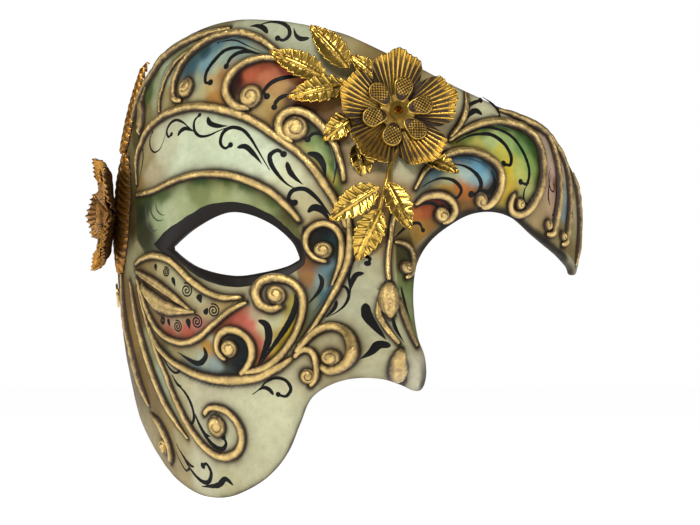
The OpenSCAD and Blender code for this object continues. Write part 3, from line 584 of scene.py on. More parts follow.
PANELS = [
    ([*along("forehead_scroll_outer", 0, 4), (-68, 68.5), (-75, 64), (-79, 58), (-80, 52), (-78, 46),
      (-65, 46), (-53, 44), (-51, 46.3), (-54, 50.5), (-53.6, 55.5), (-49, 60), (-42, 62), (-34.5, 61)],
     [(-66, 66, "#26424c"), (-71, 60, "#35545e"), (-60, 68, "#4f7480"), (-50, 68.5, "#6f8a88"),
      (-42, 66, "#87927c"), (-63, 61, "#6f9094"), (-56, 63, "#8c9e8c"), (-58, 58, "#a8a880"),
      (-66, 54, "#97a084"), (-64, 50, "#b0a87a"), (-59, 53, "#b59a62"), (-57, 48, "#b0803f"),
      (-56, 57, "#a87842"), (-72, 52, "#6f7452"), (-75, 49, "#8b7a48")]),
    ([*along("top_edge_rim", 1, 6), (-104, 36), (-95, 31), (-89, 40), (-78, 44.5), (-80, 52), (-79, 58),
      (-75, 64), (-68, 68.5)],
     [(-99, 57, "#1f3312"), (-103, 48, "#2c3416"), (-94, 60, "#3d5226"), (-91, 57, "#8f9672"),
      (-87, 62, "#9ba583"), (-82, 66, "#7f8560"), (-88, 50, "#9c9c78"), (-82, 52, "#9a8c5e"),
      (-92, 46, "#7c7448"), (-97, 40, "#4d4324"), (-96, 52, "#44562c"), (-84, 58, "#a3a684")]),
    ([(-34.5, 61), (-42, 62), (-49, 60), (-53.6, 55.5), (-54, 50.5), (-51, 46.3), (-53, 44), (-42, 40),
      (-36, 36), (-34.6, 38.8), (-33, 42.4), (-28.4, 43.8), (-23, 41.8), (-18.5, 37), (-15, 31), (-11, 33),
      (-8, 42), (-12, 52), (-24, 58)],
     [(-45, 59, "#7a2c1c"), (-39, 59.5, "#9a4128"), (-31, 58, "#a8503a"), (-24, 55, "#8a4a30"),
      (-49, 55, "#2a120c"), (-44, 56, "#b0573a"), (-38, 55.5, "#b86a48"), (-33, 52, "#b08850"),
      (-38, 47, "#b0955a"), (-40, 42.5, "#ae955c"), (-47, 42.5, "#b8a26e"), (-28, 47, "#4c2c18"),
      (-22, 47, "#5c3820"), (-16, 42, "#7c5c34"), (-35, 43, "#a58648"), (-52, 52, "#2a120c")]),
    ([*along("forehead_scroll_inner", 0, 4), (-23, 41.8), (-28.4, 43.8), (-33, 42.4), (-34.6, 38.8),
      (-33, 35.5), *along("forehead_arch", 7, 11)],
     [(-29, 41, "#141c14"), (-24, 39, "#1f3018"), (-19.5, 36, "#34502a"), (-16.5, 30, "#4c6e34"),
      (-15, 24, "#3f6430"), (-22, 33, "#7c9656"), (-19, 29, "#9eb077"), (-18, 23, "#a8b060"),
      (-24, 29, "#bdb86c"), (-27, 31, "#a89858"), (-22, 24, "#c8aa34"), (-18, 18, "#b8a548"),
      (-31, 37, "#6b5c30"), (-14, 16, "#6a7a3c")]),
    ("band", [(-88, 28, "#8e8258"), (-85, 25, "#ab9e7c"), (-78, 33, "#b9b898"), (-61, 33, "#c0c9a8"),
      (-64, 27, "#c2cbac"), (-50, 36, "#c2ccaa"), (-45, 28, "#c8d2b4"), (-38, 25, "#cbd4b6"),
      (-30, 19, "#c8c8a2"), (-22, 12, "#bcb288"), (-16, 6, "#ab9868"), (-91, 21, "#7d6a3c")]),
    ("lid", [(-88, 12, "#20240f"), (-86, 15, "#2f3a1a"), (-77, 17, "#3c5224"), (-60, 21.5, "#244612"),
      (-50, 20.5, "#26480f"), (-42, 17.5, "#2f4e16"), (-34, 13, "#4c6a30"), (-28, 7.5, "#454c24"),
      (-60, 16, "#727c4a"), (-52, 15.5, "#8d9462"), (-44, 14, "#a0a678"), (-72, 10, "#a3aa84"),
      (-78, 9, "#8f9a70"), (-66, 12.5, "#99a274"), (-36, 10, "#939a68"), (-85, 4, "#2c2c18"),
      (-30, 6, "#707244")]),
    ([(-24, 5), (-21, 5.5), (-14, 3.8), (-12.5, -0.5), *along("nose_side_border", 2, 7), (-29.4, -33.6),
      (-25.8, -26.6), (-24.4, -19.6), (-25.2, -14.8), (-26, -10), (-24, -3)],
     [(-18, 3, "#101616"), (-14.5, -1, "#16303a"), (-13.5, -6, "#14323c"), (-15, -12, "#255058"),
      (-18, -18, "#3f6a6c"), (-16.5, -9, "#60828a"), (-19, -13, "#7d9490"), (-22, -19, "#7c8468"),
      (-22, -12, "#93662c"), (-23, -8, "#7a4e22"), (-19.5, -6, "#6b4520"), (-24, -25, "#5a6a4c"),
      (-26, -31, "#6b6a48"), (-21, 0, "#1c1c14")]),
    ("leaf", [(-90, -9, "#59431f"), (-84, -8, "#86754a"), (-76, -9, "#a3986c"), (-70, -13, "#aaa47c"),
      (-60, -19, "#aea880"), (-52, -21, "#a8905c"), (-78, -16, "#8a7442"), (-66, -22, "#a59868"),
      (-58, -24, "#a3946a"), (-72, -27, "#a38a6c"), (-66, -31, "#a8503c"), (-75, -31.5, "#994c38"),
      (-60, -28, "#a0685a"), (-82, -24, "#7c6844")]),
    ([(-40, -21), (-49.4, -23.6), (-56, -28.4), (-60, -31.5), (-55, -31), (-50.8, -29.2), (-46, -29.8),
      (-42.2, -33.2), (-41.4, -38), (-43.8, -42.6), *along("under_eye_scroll", 1, 5), (-24.4, -19.6),
      (-27, -16), (-33, -22.5), (-36.5, -23.4)],
     [(-50, -26, "#944632"), (-46, -26, "#b4584a"), (-43, -28, "#c06656"), (-40.5, -33, "#bc6650"),
      (-56, -29.5, "#7a4422"), (-40, -25, "#b0a080"), (-37, -28, "#bcb68a"), (-34, -26, "#bcbc92"),
      (-36, -33, "#b0aa7e"), (-39.5, -38, "#9c5438"), (-33, -33, "#8c7620"), (-29, -30, "#c0a414"),
      (-33, -36, "#c4a416"), (-27, -23, "#a99a3a"), (-38, -41, "#7c5a28")]),
    ([(-43.8, -42.6), (-41.4, -38), (-42.2, -33.2), (-46, -29.8), (-50.8, -29.2), (-54.8, -32),
      (-55.6, -36.6), (-58, -32.5), (-62, -33), (-68.6, -34.4), (-76, -33.5), (-82, -30), (-83.6, -35.4),
      (-76.4, -41.4), (-68.4, -45.4), (-60, -47.8), (-51, -48.4), (-46, -46)],
     [(-44, -36, "#0c1418"), (-45, -33, "#101c26"), (-47, -41, "#0b1216"), (-53, -44.5, "#10242c"),
      (-60, -46, "#1a3c48"), (-70, -43, "#1f3a34"), (-78, -38, "#2a4030"), (-52, -39, "#241f14"),
      (-56, -41, "#8aa09a"), (-62, -39, "#a4aa90"), (-59, -35, "#b58838"), (-66, -37, "#a29a70"),
      (-73, -36, "#92865a"), (-64, -43, "#54787e"), (-80, -32, "#66582f")]),
    ([*along("jaw_ribbon_middle"), *back_along("jaw_ribbon_front", 0, 5)],
     [(-92, -22, "#5a4a28"), (-86, -36, "#8f9068"), (-82, -45, "#97a284"), (-77, -55, "#939672"),
      (-73, -63, "#9a8c5e")]),
    ([*along("jaw_ribbon_back", 0, 4), (-97, -55), *back_along("jaw_ribbon_middle")],
     [(-103, -15, "#6a5228"), (-100, -30, "#7d6432"), (-95, -42, "#6f5a30"), (-90, -52, "#75623a"),
      (-84, -60, "#8c7c50")]),
    ([(9.4, 11.8), (13, 14.8), (18, 15.8), (22.2, 14.2), (24, 10.8), (22.6, 7.8), (19.4, 6.6), (14, 2),
      (8, -3), (4, 2), (6, 8)],
     [(12, 12.5, "#7c2614"), (17, 13.5, "#541610"), (21, 12, "#3a140c"), (9, 9, "#ad602a"),
      (13, 9.5, "#9c4a1e"), (11, 4, "#96702c"), (7, 3, "#957e42"), (16, 6, "#8a6228"),
      (17, 10, "#7c3018")]),
    ([(9, 16.6), (11.8, 22), (16.4, 26.2), (22.4, 29.6), (29.4, 30.4), (36, 28.6), (40, 24.8), (40.8, 20.6),
      (39.4, 16.4), (36.4, 13.4), (33, 12.9), (30, 10.5), (26, 9), (24, 10.8), (22.2, 14.2), (18, 15.8),
      (13, 14.8), (9.4, 11.8)],
     [(13, 18, "#4a6058"), (16, 22, "#52747c"), (20, 27, "#33586a"), (27, 29, "#284e66"),
      (34, 27.5, "#1f4458"), (38, 23, "#1c3a48"), (37, 17, "#282c28"), (31, 25, "#5f94a8"),
      (33, 21, "#7aa2ac"), (27, 22.5, "#9cb2a6"), (21, 20.5, "#aaae80"), (15, 16, "#a08c4e"),
      (24, 17, "#b8661e"), (28, 15.5, "#a05c20"), (27, 11, "#715322"), (32, 17, "#8a5a2c"),
      (20, 17, "#bd9438")]),
    ([(21.6, 33.6), (27.4, 37.6), (34.6, 40.6), (43, 41.8), (52, 41), (58.8, 38.4), (62.2, 33.2),
      (62.4, 27.4), (60.2, 21), (56.8, 15.6), (52.6, 11.8), (48.2, 10.8), (45.6, 12.6), (42, 10.5),
      (39, 10), (36.4, 13.4), (39.4, 16.4), (40.8, 20.6), (40, 24.8), (36, 28.6), (29.4, 30.4),
      (22.4, 29.6)],
     [(24, 32, "#6a6a2c"), (29, 36.5, "#587438"), (36, 39.8, "#3c6420"), (44, 40.6, "#2a561c"),
      (52, 39.5, "#264e1a"), (58, 36, "#244618"), (60.5, 30, "#2a4418"), (59, 22, "#2f3c18"),
      (55, 15.5, "#24301a"), (51, 33, "#6f9450"), (45, 35, "#93ac68"), (38, 35, "#aab878"),
      (32, 33, "#b8b258"), (41, 30.5, "#c4bc50"), (43.5, 25, "#cdb432"), (44, 18, "#c4a434"),
      (49, 25, "#b0b45e"), (54, 27, "#7f9c52"), (51, 19, "#a0a464"), (46, 14, "#8a8048")]),
    ([(58.8, 38.4), (62.2, 33.2), (62.4, 27.4), (60.2, 21), (56.8, 15.6), (52.6, 11.8), (53, 6), (57, 4),
      (66.4, 1.4), *back_along("wing_stripe_front", 0, 5)],
     [(66, 33, "#ab9a82"), (67, 27, "#bb9f8c"), (65, 20, "#b4947c"), (66, 12, "#ac9070"),
      (61, 12, "#a08a60"), (64, 5, "#8f7d50"), (70.5, 22, "#6f3424")]),
    ([*along("wing_stripe_front", 0, 5), (66.4, 1.4), (75.6, -1), *back_along("wing_stripe_middle", 0, 4)],
     [(74, 32, "#7a4228"), (77, 27, "#b8a892"), (75.5, 20, "#8fa2a2"), (76, 12, "#7f9498"),
      (73, 5, "#8a7c52")]),
    ([*along("wing_stripe_middle", 0, 4), (75.6, -1), (89.6, -5.6), *back_along("wing_stripe_back", 0, 4)],
     [(85, 24, "#6c6141"), (88, 14, "#a89c78"), (85, 5, "#94895f"), (83, 0, "#7c6c3e")]),
    ([(5, 14), (9.3, -3), (9, -12), (8, -22), (9, -35), (6, -33), (3, -25), (2.4, -20), (2, -10), (2.6, 0)],
     [(5, 5, "#7d6a3c"), (6, -4, "#3c3c20"), (7, -14, "#6a7c48"), (6, -22, "#8a9464"),
      (7, -30, "#838a5e")]),
]
NAMED_OUTLINES = {
    "band": np.vstack([line_of("forehead_arch"), line_of("lid_line")[::-1]]),
    "lid": np.vstack([line_of("lid_line"), [(-24, -3), (-35, 6), (-47, 9), (-61, 4), (-76, -4), (-86, -3),
                                            (-92, 2)]]),
    "leaf": np.vstack([line_of("under_eye_wave"), line_of("cheek_panel_border")]),
}
EYE_BAND = [(-81, 0), (-74, 4.4), (-65, 8.6), (-57, 12), (-48, 13.2), (-41, 12), (-34, 9), (-28, 4),
    (-23.6, -1), (-23, -6.5), (-27, -10.5), (-34, -13), (-40, -14.5), (-46, -15.5), (-54, -14), (-61, -11),
    (-69, -5.6), (-76, -3)]
EYE_BLACK, EDGE_BROWN, INSIDE_DARK = rgb("#14110e"), rgb("#3a2c1c"), rgb("#1c1916")
# the crevice colour is antiquing together with painted contact shade at the foot of each strand
STAIN_BROWN, CREVICE_PATINA_AND_SHADE = rgb("#553813"), rgb("#170c04")
EYE_OUTLINE = np.vstack([smooth(UPPER_LID, 10)[:-1], smooth(LOWER_LID, 10)[:-1]])
RIVET_HOLE_R, EYELET_HOLE_R = 2.2, 2.5
RIM_STEPS, RIM_BULGE = 4, 0.5


def blend_spots(spots, pts):
    """Colours brushed into each other between a few spots."""
    at = np.array([s[:2] for s in spots], float)
    colour = np.array([rgb(s[2]) for s in spots])
    d2 = ((pts[:, None, :] - at[None]) ** 2).sum(-1) + 2.5
    w = d2 ** -2.2
    return (w[..., None] * colour[None]).sum(1) / w.sum(1)[:, None]


def cover(outline, pts, blur):
    """1 inside an outline and 0 outside, soft over blur millimetres."""
    _, away = nearest_on(closed(outline), pts)
    signed = np.where(inside(outline, pts), away, -away)
    return ease(0.5 + signed / blur)


def swirl(pts, size, seed):
    """How far the brush drags the colours, along u and z."""
    return np.stack([flat_noise(pts[:, 0], pts[:, 1], size, seed + k) for k in (0, 1)], 1)


def painted(pts):
    """The colour of the outer sheet at each (u, z)."""
    stir = swirl(pts, 5, 11) + 0.4 * swirl(pts, 1.6, 13)
    colour = blend_spots(BASE, pts + 1.5 * stir)
    for outline, spots in PANELS:
        outline = np.asarray(NAMED_OUTLINES[outline] if isinstance(outline, str) else outline, float)
        low, high = outline.min(0) - 1, outline.max(0) + 1
        near = np.where(((pts > low) & (pts < high)).all(1))[0]
        c = cover(outline, pts[near], 0.8)[:, None]
        colour[near] = colour[near] * (1 - c) + blend_spots(spots, pts[near] + 0.9 * stir[near]) * c
    return colour


def strand_shadow(pts):
    """Distance from each point to the side of the nearest strand."""
    samples = np.vstack([even_path(points, 0.6)[0] for strands, _ in RELIEF.values() for points in strands])
    tree = KDTree(len(samples))
    for k, p in enumerate(samples):
        tree.insert((p[0], p[1], 0), k)
    tree.balance()
    away = np.empty(len(pts))
    for k, p in enumerate(pts):
        _, found, d = tree.find((p[0], p[1], 0))
        away[k] = d - 0.5 * samples[found, 2]
    for strands, bosses in RELIEF.values():
        for u0, z0, radius in bosses:
            away = np.minimum(away, np.hypot(pts[:, 0] - u0, pts[:, 1] - z0) - radius)
    return np.maximum(away, 0)


def toward(colour, target, amount):
    return colour * (1 - amount[:, None]) + target * amount[:, None]


def ring_outline(u0, z0, radius):
    """The (u, z) outline of a round bore."""
    per_u = np.linalg.norm(face(u0 + 0.1, z0) - face(u0 - 0.1, z0)) / 0.2
    per_z = np.linalg.norm(face(u0, z0 + 0.1) - face(u0, z0 - 0.1)) / 0.2
    a = np.linspace(0, 2 * np.pi, 48, endpoint=False)
    return np.stack([u0 + radius / per_u * np.cos(a), z0 + radius / per_z * np.sin(a)], 1)


def shell_colours(pts, edge_line):
    """Painted panels with brown antiquing beside the strands, a near-black line at their feet that is
    antiquing and painted shade together, black lids and dark edges.
    """
    u, z = pts[:, 0], pts[:, 1]
    colour = painted(pts)
    stain = 0.5 + 0.5 * flat_noise(u, z, 3.5, 21)
    colour *= (1 + 0.05 * flat_noise(u, z, 1.3, 22) + 0.05 * flat_noise(u, z, 7, 23))[:, None]
    away = strand_shadow(pts)
    stained = np.clip(0.8 * np.exp(-away / 1.7) * (0.3 + 0.9 * stain), 0, 1)
    colour = toward(colour, np.minimum(colour, STAIN_BROWN), stained)
    # painted shade: a near-black line at the foot of every strand, together with the antiquing there
    colour = toward(colour, np.minimum(colour, CREVICE_PATINA_AND_SHADE), 0.95 * np.exp(-(away / 0.7) ** 1.6))
    _, lid_edge = nearest_on(closed(EYE_BAND), pts)
    colour = toward(colour, EYE_BLACK, inside(EYE_BAND, pts) * ease((lid_edge - 0.6) * 2))
    at_edge, rim = nearest_on(closed(edge_line), pts)
    colour = toward(colour, EDGE_BROWN, 0.8 * np.exp(-rim / 0.8) * (0.4 + 0.6 * stain))
    wing_brow = ease((at_edge[:, 0] - 9) / 4) * ease((82 - at_edge[:, 0]) / 6) * (at_edge[:, 1] < 14)
    return toward(colour, EYE_BLACK, 0.95 * wing_brow * np.exp(-(rim / (1.8 + 0.6 * stain)) ** 4))


def make_shell():
    cols = smooth(RIBS, 5 * FINE)
    t = np.linspace(0, 1, 70 * FINE + 1)[None, :, None]
    pts = cols[:, None, :2] * (1 - t) + cols[:, None, 2:] * t
    n, m = pts.shape[:2]
    pts = pts.reshape(-1, 2)
    holes = [EYE_OUTLINE, *(ring_outline(*spot, RIVET_HOLE_R) for spot in (FLOWER_AT, TEMPLE_AT)),
             *(ring_outline(*spot, EYELET_HOLE_R) for spot in EYELETS)]
    quads = grid_faces(n, m)
    for outline in holes:
        within = inside(outline, pts)
        quads = quads[~within[quads].all(1)]
        used = np.zeros(len(pts), bool)
        used[quads.ravel()] = True
        moved = within & used
        pts[moved] = nearest_on(closed(outline), pts[moved])[0]
    edge_line = np.vstack([cols[:, :2], cols[::-1, 2:]])
    used = np.unique(quads)
    renumber = np.full(len(pts), -1)
    renumber[used] = np.arange(len(used))
    pts, quads = pts[used], renumber[quads]
    u, z = pts[:, 0], pts[:, 1]
    colour = shell_colours(pts, edge_line)
    outer = skin(u, z)
    normal = out_dir(u, z)
    inner = outer - normal * SHELL_T
    count = len(pts)
    # rounded rim round every free edge
    directed = np.concatenate([quads[:, [k, (k + 1) % 4]] for k in range(4)])
    key = directed[:, 0].astype(np.int64) * count + directed[:, 1]
    back = directed[:, 1].astype(np.int64) * count + directed[:, 0]
    free = directed[~np.isin(key, back)]
    spread = np.zeros_like(outer)
    sideways = np.cross(outer[free[:, 1]] - outer[free[:, 0]], normal[free[:, 0]])
    np.add.at(spread, free[:, 0], sideways)
    np.add.at(spread, free[:, 1], sideways)
    ring = np.unique(free)
    place = np.full(count, -1)
    place[ring] = np.arange(len(ring))
    middle = (outer[ring] + inner[ring]) / 2
    co, tints, rows = [outer, inner], [colour, np.tile(INSIDE_DARK, (count, 1))], [free]
    tints[1] *= (1 + 0.25 * flat_noise(u, z, 4, 31))[:, None]
    for k in range(1, RIM_STEPS + 1):
        a = math.pi * k / (RIM_STEPS + 1)
        bulge = unit(spread[ring]) * RIM_BULGE * math.sin(a)
        co.append(middle + (outer[ring] - middle) * math.cos(a) + bulge)
        share = 0.45 if k == 1 else 0.1
        tints.append(toward(colour[ring], EDGE_BROWN * 0.6, np.full(len(ring), 1 - share)))
        rows.append(2 * count + (k - 1) * len(ring) + place[free])
    rows.append(free + count)
    faces = [quads, quads[:, ::-1] + count]
    for upper, lower in zip(rows[:-1], rows[1:]):
        faces.append(np.stack([upper[:, 1], upper[:, 0], lower[:, 0], lower[:, 1]], 1))
    add_mesh("mask_shell_painted", np.vstack(co), np.vstack(faces), PAPER,
             "mask_shell", colours=np.clip(np.vstack(tints), 0, 1))


make_shell()


# ---- black brush strokes ----
# a curl swells towards its far end and ends in a round blob; a comma is fat near its start
CURLS = [
    ([(-44.5, 73.5), (-39.5, 74.7), (-35, 74.2), (-32, 72.4), (-31.4, 69.6), (-33.4, 67.8), (-35.6, 68.6)],
      1.2),
    ([(-41, 64), (-47, 66.5), (-51.5, 68.5), (-55.5, 69), (-60, 68.3)], 0.5),
    ([(-40, 62.6), (-45, 64.4), (-50.5, 66), (-56, 65.4), (-60, 62), (-62.6, 58), (-62.2, 54.4),
      (-60, 54.2)], 1.3),
    ([(-41, 63), (-45, 64), (-49.5, 64.3), (-53, 62.5), (-54.4, 59.6)], 1.3),
    ([(-21, 55), (-26, 55), (-31.5, 54.6), (-36, 53), (-38.6, 50), (-37.4, 48.2)], 1.3),
    ([(-27, 48.6), (-31.5, 48.2), (-34, 46.4), (-34.6, 44.4)], 1.2),
    ([(-64, 37.4), (-67, 39.2), (-70, 41), (-73.5, 42), (-76.4, 41), (-77.8, 38.6), (-76.4, 36.4),
      (-75, 37.2)], 0.9),
    ([(-50, 38.3), (-54, 37), (-58, 35.6), (-61.6, 35.8), (-64, 38), (-64.4, 41.2), (-62.6, 43)], 0.9),
    ([(-35.5, 23), (-37.5, 26.5), (-39.5, 30), (-42, 34), (-45, 37), (-49, 38), (-52, 36.4), (-52.8, 33),
      (-51, 31), (-49, 32)], 1.1),
    ([(-27, 16.8), (-30, 18.6), (-33, 21.8), (-35, 25), (-35.4, 28), (-33, 29.6), (-31, 28.2)], 1.3),
    ([(-14.6, 6.4), (-17, 10), (-20.4, 14), (-24, 16.6), (-27.6, 16.2), (-28.6, 13.6), (-26.6, 12.4)], 1.2),
    ([(-78, 38), (-79, 35), (-80.5, 32.4), (-83.5, 31.6), (-86.4, 33.4), (-87.6, 36.4), (-86.6, 38.8)],
      0.6),
    ([(-92, 22), (-91, 26), (-90.6, 30), (-91.8, 33)], 0.6),
    ([(-15.6, 18.4), (-14.9, 23.5), (-14.5, 28), (-15.6, 32), (-18, 34.8), (-21.5, 35.2), (-23.4, 33.2)],
      1.2),
    ([(-10.5, -17.5), (-10.8, -14), (-10.6, -10), (-9.6, -6.8), (-7.4, -5.2), (-5.2, -6.4), (-5.8, -8)],
      1.1),
    ([(-17.6, -25.4), (-14.6, -23.8), (-12.2, -21.4), (-11, -18.2), (-11.8, -15.6), (-14, -15.4),
      (-14.8, -17.2)], 0.8),
    ([(-43.5, -50.6), (-40.6, -48.8), (-38.4, -46.6), (-35, -45.2), (-31.6, -46), (-30, -48.8),
      (-31.8, -51.2), (-34.4, -50.6)], 1.0),
    ([(-82, -33), (-80.4, -38), (-77.8, -42), (-74.6, -43.6), (-72, -42.4), (-72.4, -40.4)], 0.8),
    ([(-77, -44.4), (-74.6, -47.4), (-71.6, -50), (-69.4, -54), (-69, -58), (-70.6, -60.4), (-72.6, -59.4)],
      1.1),
    ([(-69, -55.4), (-67.6, -60), (-65.6, -64), (-62.4, -67.6), (-58.6, -68.8), (-56.4, -67),
      (-57.2, -64.8)], 1.3),
    ([(-82.4, -67.6), (-79.8, -72), (-77, -76.4), (-73, -79.6), (-69, -80), (-66.4, -77), (-67.6, -74),
      (-69.8, -74.6)], 1.3),
    ([(-84, -70), (-82.4, -74), (-80.6, -76.4), (-78.6, -76)], 0.7),
    ([(11.5, 17.5), (14.5, 19.4), (18, 20.6), (22, 20), (24.8, 17.4), (24, 14.8), (22, 14.6)], 1.0),
    ([(21, 25.6), (26, 25), (30, 22.6), (32, 19.4), (31, 16.4), (28.6, 16)], 1.3),
    ([(36, 24), (37.2, 20.6), (36, 17.4), (33.4, 16.6)], 1.5),
    ([(24, 33), (29, 35.6), (33.5, 36.6), (38.5, 36.6), (43, 34), (45.4, 30), (44.4, 26.6), (41.6, 26.8)],
      1.3),
    ([(28, 36), (35, 38.8), (42, 38.6), (48, 36), (52, 31), (53.4, 25.4), (51.6, 20.6), (48.6, 21)], 1.2),
    ([(52.8, 21), (50.4, 18.4), (50.6, 15), (53.4, 13.4)], 0.7),
    ([(1, -1), (4.4, 2.4), (7.6, 5), (11, 5.8), (12.6, 3.6)], 0.9),
    ([(9.5, 10.5), (12.5, 12.2), (15.5, 12.4), (18.4, 11)], 1.0),
    ([(27.4, 40.6), (28.6, 44), (31, 46.6), (35.5, 48.4)], 1.1),
    ([(36.6, 49.6), (39.6, 48), (42.4, 45.6), (43, 43.2)], 0.9),
    ([(66.6, 27), (64.6, 24), (65, 20), (67.4, 19), (67.6, 21.6)], 0.5),
    ([(70.6, 30), (70, 22), (68.4, 15), (67, 11)], 0.6)]
COMMAS = [
    ([(-39.6, 70.6), (-41.6, 72.6), (-44.4, 73.6), (-47.5, 73.6)], 1.6),
    ([(-24, 68.4), (-27, 68.2), (-29, 69.6), (-30, 72.4)], 1.4),
    ([(-71.5, 36.3), (-70.4, 38), (-68, 38.7), (-64.4, 37.4)], 1.4),
    ([(-59, 42.2), (-57.8, 40), (-54.6, 38.8), (-50.5, 38.6)], 1.6),
    ([(-46.6, 31), (-43.6, 31.2), (-40.6, 28.4), (-38, 25)], 1.6),
    ([(-30, 25.6), (-29, 22.4), (-27, 20), (-24.6, 18)], 1.5),
    ([(-22.4, 9.2), (-20.6, 10.8), (-18, 9.6), (-15.6, 6.2)], 1.8),
    ([(-23.6, 28.4), (-20.6, 27.6), (-18.8, 24.6), (-18, 20)], 2.0),
    ([(-19.4, -11), (-18.4, -13.6), (-19.6, -17), (-23.4, -21.4)], 1.2),
    ([(-6.8, -11.2), (-8.8, -11.6), (-10, -14), (-10.6, -17)], 1.4),
    ([(-14.4, -19.8), (-14.8, -21.8), (-16, -23.6), (-18.2, -25.6)], 1.0),
    ([(-7, -21), (-6.8, -25), (-5, -29), (-2.6, -33)], 2.4),
    ([(-1.4, -35), (-4.6, -34.6), (-7, -37), (-10, -39.2)], 2.2),
    ([(-0.4, -25.6), (0.2, -29), (1.4, -31.6), (2.8, -33.8)], 1.0),
    ([(-39.6, -26.4), (-36.8, -28.2), (-36.8, -33.4), (-41, -41.5)], 2.2),
    ([(-27, -17.6), (-27, -21.6), (-30.4, -28.6), (-40.6, -41.6)], 1.7),
    ([(-36, -50.8), (-37.4, -49), (-39.4, -48.4), (-42, -49.6)], 1.2),
    ([(-60.4, -35), (-60, -38.2), (-64, -40.4), (-72.4, -36.6)], 1.6),
    ([(-57, -80.8), (-60, -78.8), (-64.5, -81), (-73.5, -81.6)], 1.7),
    ([(-63, -64.8), (-65.4, -63.6), (-67, -60.6), (-68, -57)], 1.0),
    ([(-72.6, -48.2), (-74.4, -47.6), (-76, -45.6), (-77, -44)], 1.0),
    ([(-74.8, -75), (-76.8, -74.6), (-79, -72.4), (-81, -69.4)], 1.0),
    ([(35.4, 43.4), (33, 44.6), (30.6, 43.4), (28, 40.8)], 1.6),
    ([(3.4, -15.5), (4, -19), (5, -23.5), (6.8, -28)], 0.8),
    ([(64.8, 14), (63.6, 17), (64.4, 21), (66, 25)], 0.7)]
# dark lines in the painted colour of their panel
TINTED = [
    ([(-82, 65), (-86.5, 61), (-88, 57), (-87.4, 52)], 0.5, "#3d4a34"),
    ([(-78, 66.5), (-81.4, 63), (-83, 58), (-82.6, 54)], 0.5, "#57603f"),
    ([(-83, 15), (-82, 10.6), (-78.6, 8), (-75, 8.2)], 0.7, "#1c220f"),
    ([(-80, 14.4), (-79, 11.6), (-76.4, 9.8), (-74, 9.8)], 0.5, "#1c220f"),
    ([(-86, 14), (-85.4, 8), (-82, 4.6), (-78, 5)], 0.8, "#1a1c0f"),
    ([(-13.4, -6), (-14.4, -12), (-17.4, -18), (-22, -24.6)], 0.8, "#12303a"),
    ([(-15.4, 20), (-15.2, 26), (-16.6, 31.6)], 0.5, "#24401c"),
    ([(20, 26.6), (27, 27.6), (33, 26), (37, 21.6)], 0.6, "#173848"),
    ([(33, 40), (42, 40), (50, 38), (56, 32), (57.6, 25)], 0.5, "#1f3f18"),
    ([(-45, 69.6), (-53, 70), (-61, 67.4), (-67, 62)], 0.5, "#2c4650")]
SPIRALS = [(-74.5, -9.6, 1.7), (-65.5, -16, 2.5), (-55.2, -23, 2.3), (-62.2, -26.6, 2.3), (-71, -28, 2.0),
    (-78.5, -26, 1.4)]
DROPS = [
    ([(-80, -6.6), (-79.6, -9.2)], 1.4),
    ([(-71.6, -11.4), (-70.4, -14.6)], 1.5),
    ([(-60.6, -17.4), (-59.8, -20.4)], 2.0),
    ([(-58.8, -24.2), (-57.2, -22)], 1.6),
    ([(-66, -25.4), (-65.6, -29)], 1.8),
    ([(-75.4, -25.4), (-74.8, -28)], 1.3)]

BRUSH_SWELL = 1.2              # every stroke is this much wider than its width above
BLOB_SHARE = 0.72              # radius of the blob that ends a curl, as a share of its width
PAINT_T = 0.07
SPIRAL_TURNS, SPIRAL_W = 2.3, 0.45


def brush_line(lump, points, width, kind):
    """A flat stroke of thick paint: a curl, a comma or an even line."""
    path, s = even_path([(*p, 0) for p in points], 0.8 / FINE)
    t = headings(path)
    x = s / s[-1]
    width *= BRUSH_SWELL
    if kind == "curl":
        w = width * (0.25 + 0.75 * ease(x / 0.6)) * (1 - 0.3 * ease((x - 0.78) * 5))
    elif kind == "comma":
        w = width * (0.06 + 0.94 * np.sin(np.pi * x ** 0.62) ** 0.9)
    else:
        w = np.full_like(x, width)
    w = w * (1 + 0.08 * noise(np.stack([s, s * 0 + path[0, 0], s * 0], 1), 1.0, 41))
    k = np.linspace(-1, 1, 7)[None, :]
    u = path[:, :1] - t[:, 1:2] * k * w[:, None] / 2
    z = path[:, 1:2] + t[:, 0:1] * k * w[:, None] / 2
    lump.add(skin(u, z, PAINT_T * (1 - k ** 4) + 0 * u), grid_faces(*u.shape))
    if kind == "curl":
        dot(lump, path[-1, 0], path[-1, 1], BLOB_SHARE * width)


def dot(lump, u0, z0, radius):
    r = np.linspace(0, 1, 6)[None, :]
    a = np.linspace(0, 2 * np.pi, 20, endpoint=False)[:, None]
    u, z = u0 + radius * r * np.cos(a), z0 + radius * r * np.sin(a)
    lump.add(skin(u, z, 0.09 * (1 - r ** 4) + 0 * u), grid_faces(*u.shape, wrap=True, flip=True))


def paint_lines():
    ink = Lump()
    for points, width in CURLS:
        brush_line(ink, points, width, "curl")
    for points, width in COMMAS + DROPS:
        brush_line(ink, points, width, "comma")
    for u0, z0, radius in SPIRALS:
        turns = np.linspace(0.3, SPIRAL_TURNS * 2 * np.pi, 40)
        grow = radius * (turns / turns[-1]) ** 0.9
        spiral = list(zip(u0 + grow * np.cos(turns), z0 + grow * np.sin(turns)))
        brush_line(ink, spiral, SPIRAL_W, "even")
    ink.place("black_brush_lines", BLACK, "painted_shell")
    for k, (points, width, code) in enumerate(TINTED):
        line = Lump()
        brush_line(line, points, width, "comma")
        paint = new_material(f"line_paint_{k}", Base_Color=(*rgb(code), 1), Roughness=0.4)[0]
        line.place(f"tinted_brush_line_{k}", paint, "painted_shell")


paint_lines()


# the lids are swept round this middle, with heights stretched so that the eye is nearly round
EYE_MIDDLE, EYE_STRETCH = np.array([-48.0, -1.0]), 2.0
LID_PAINT_T = 0.16


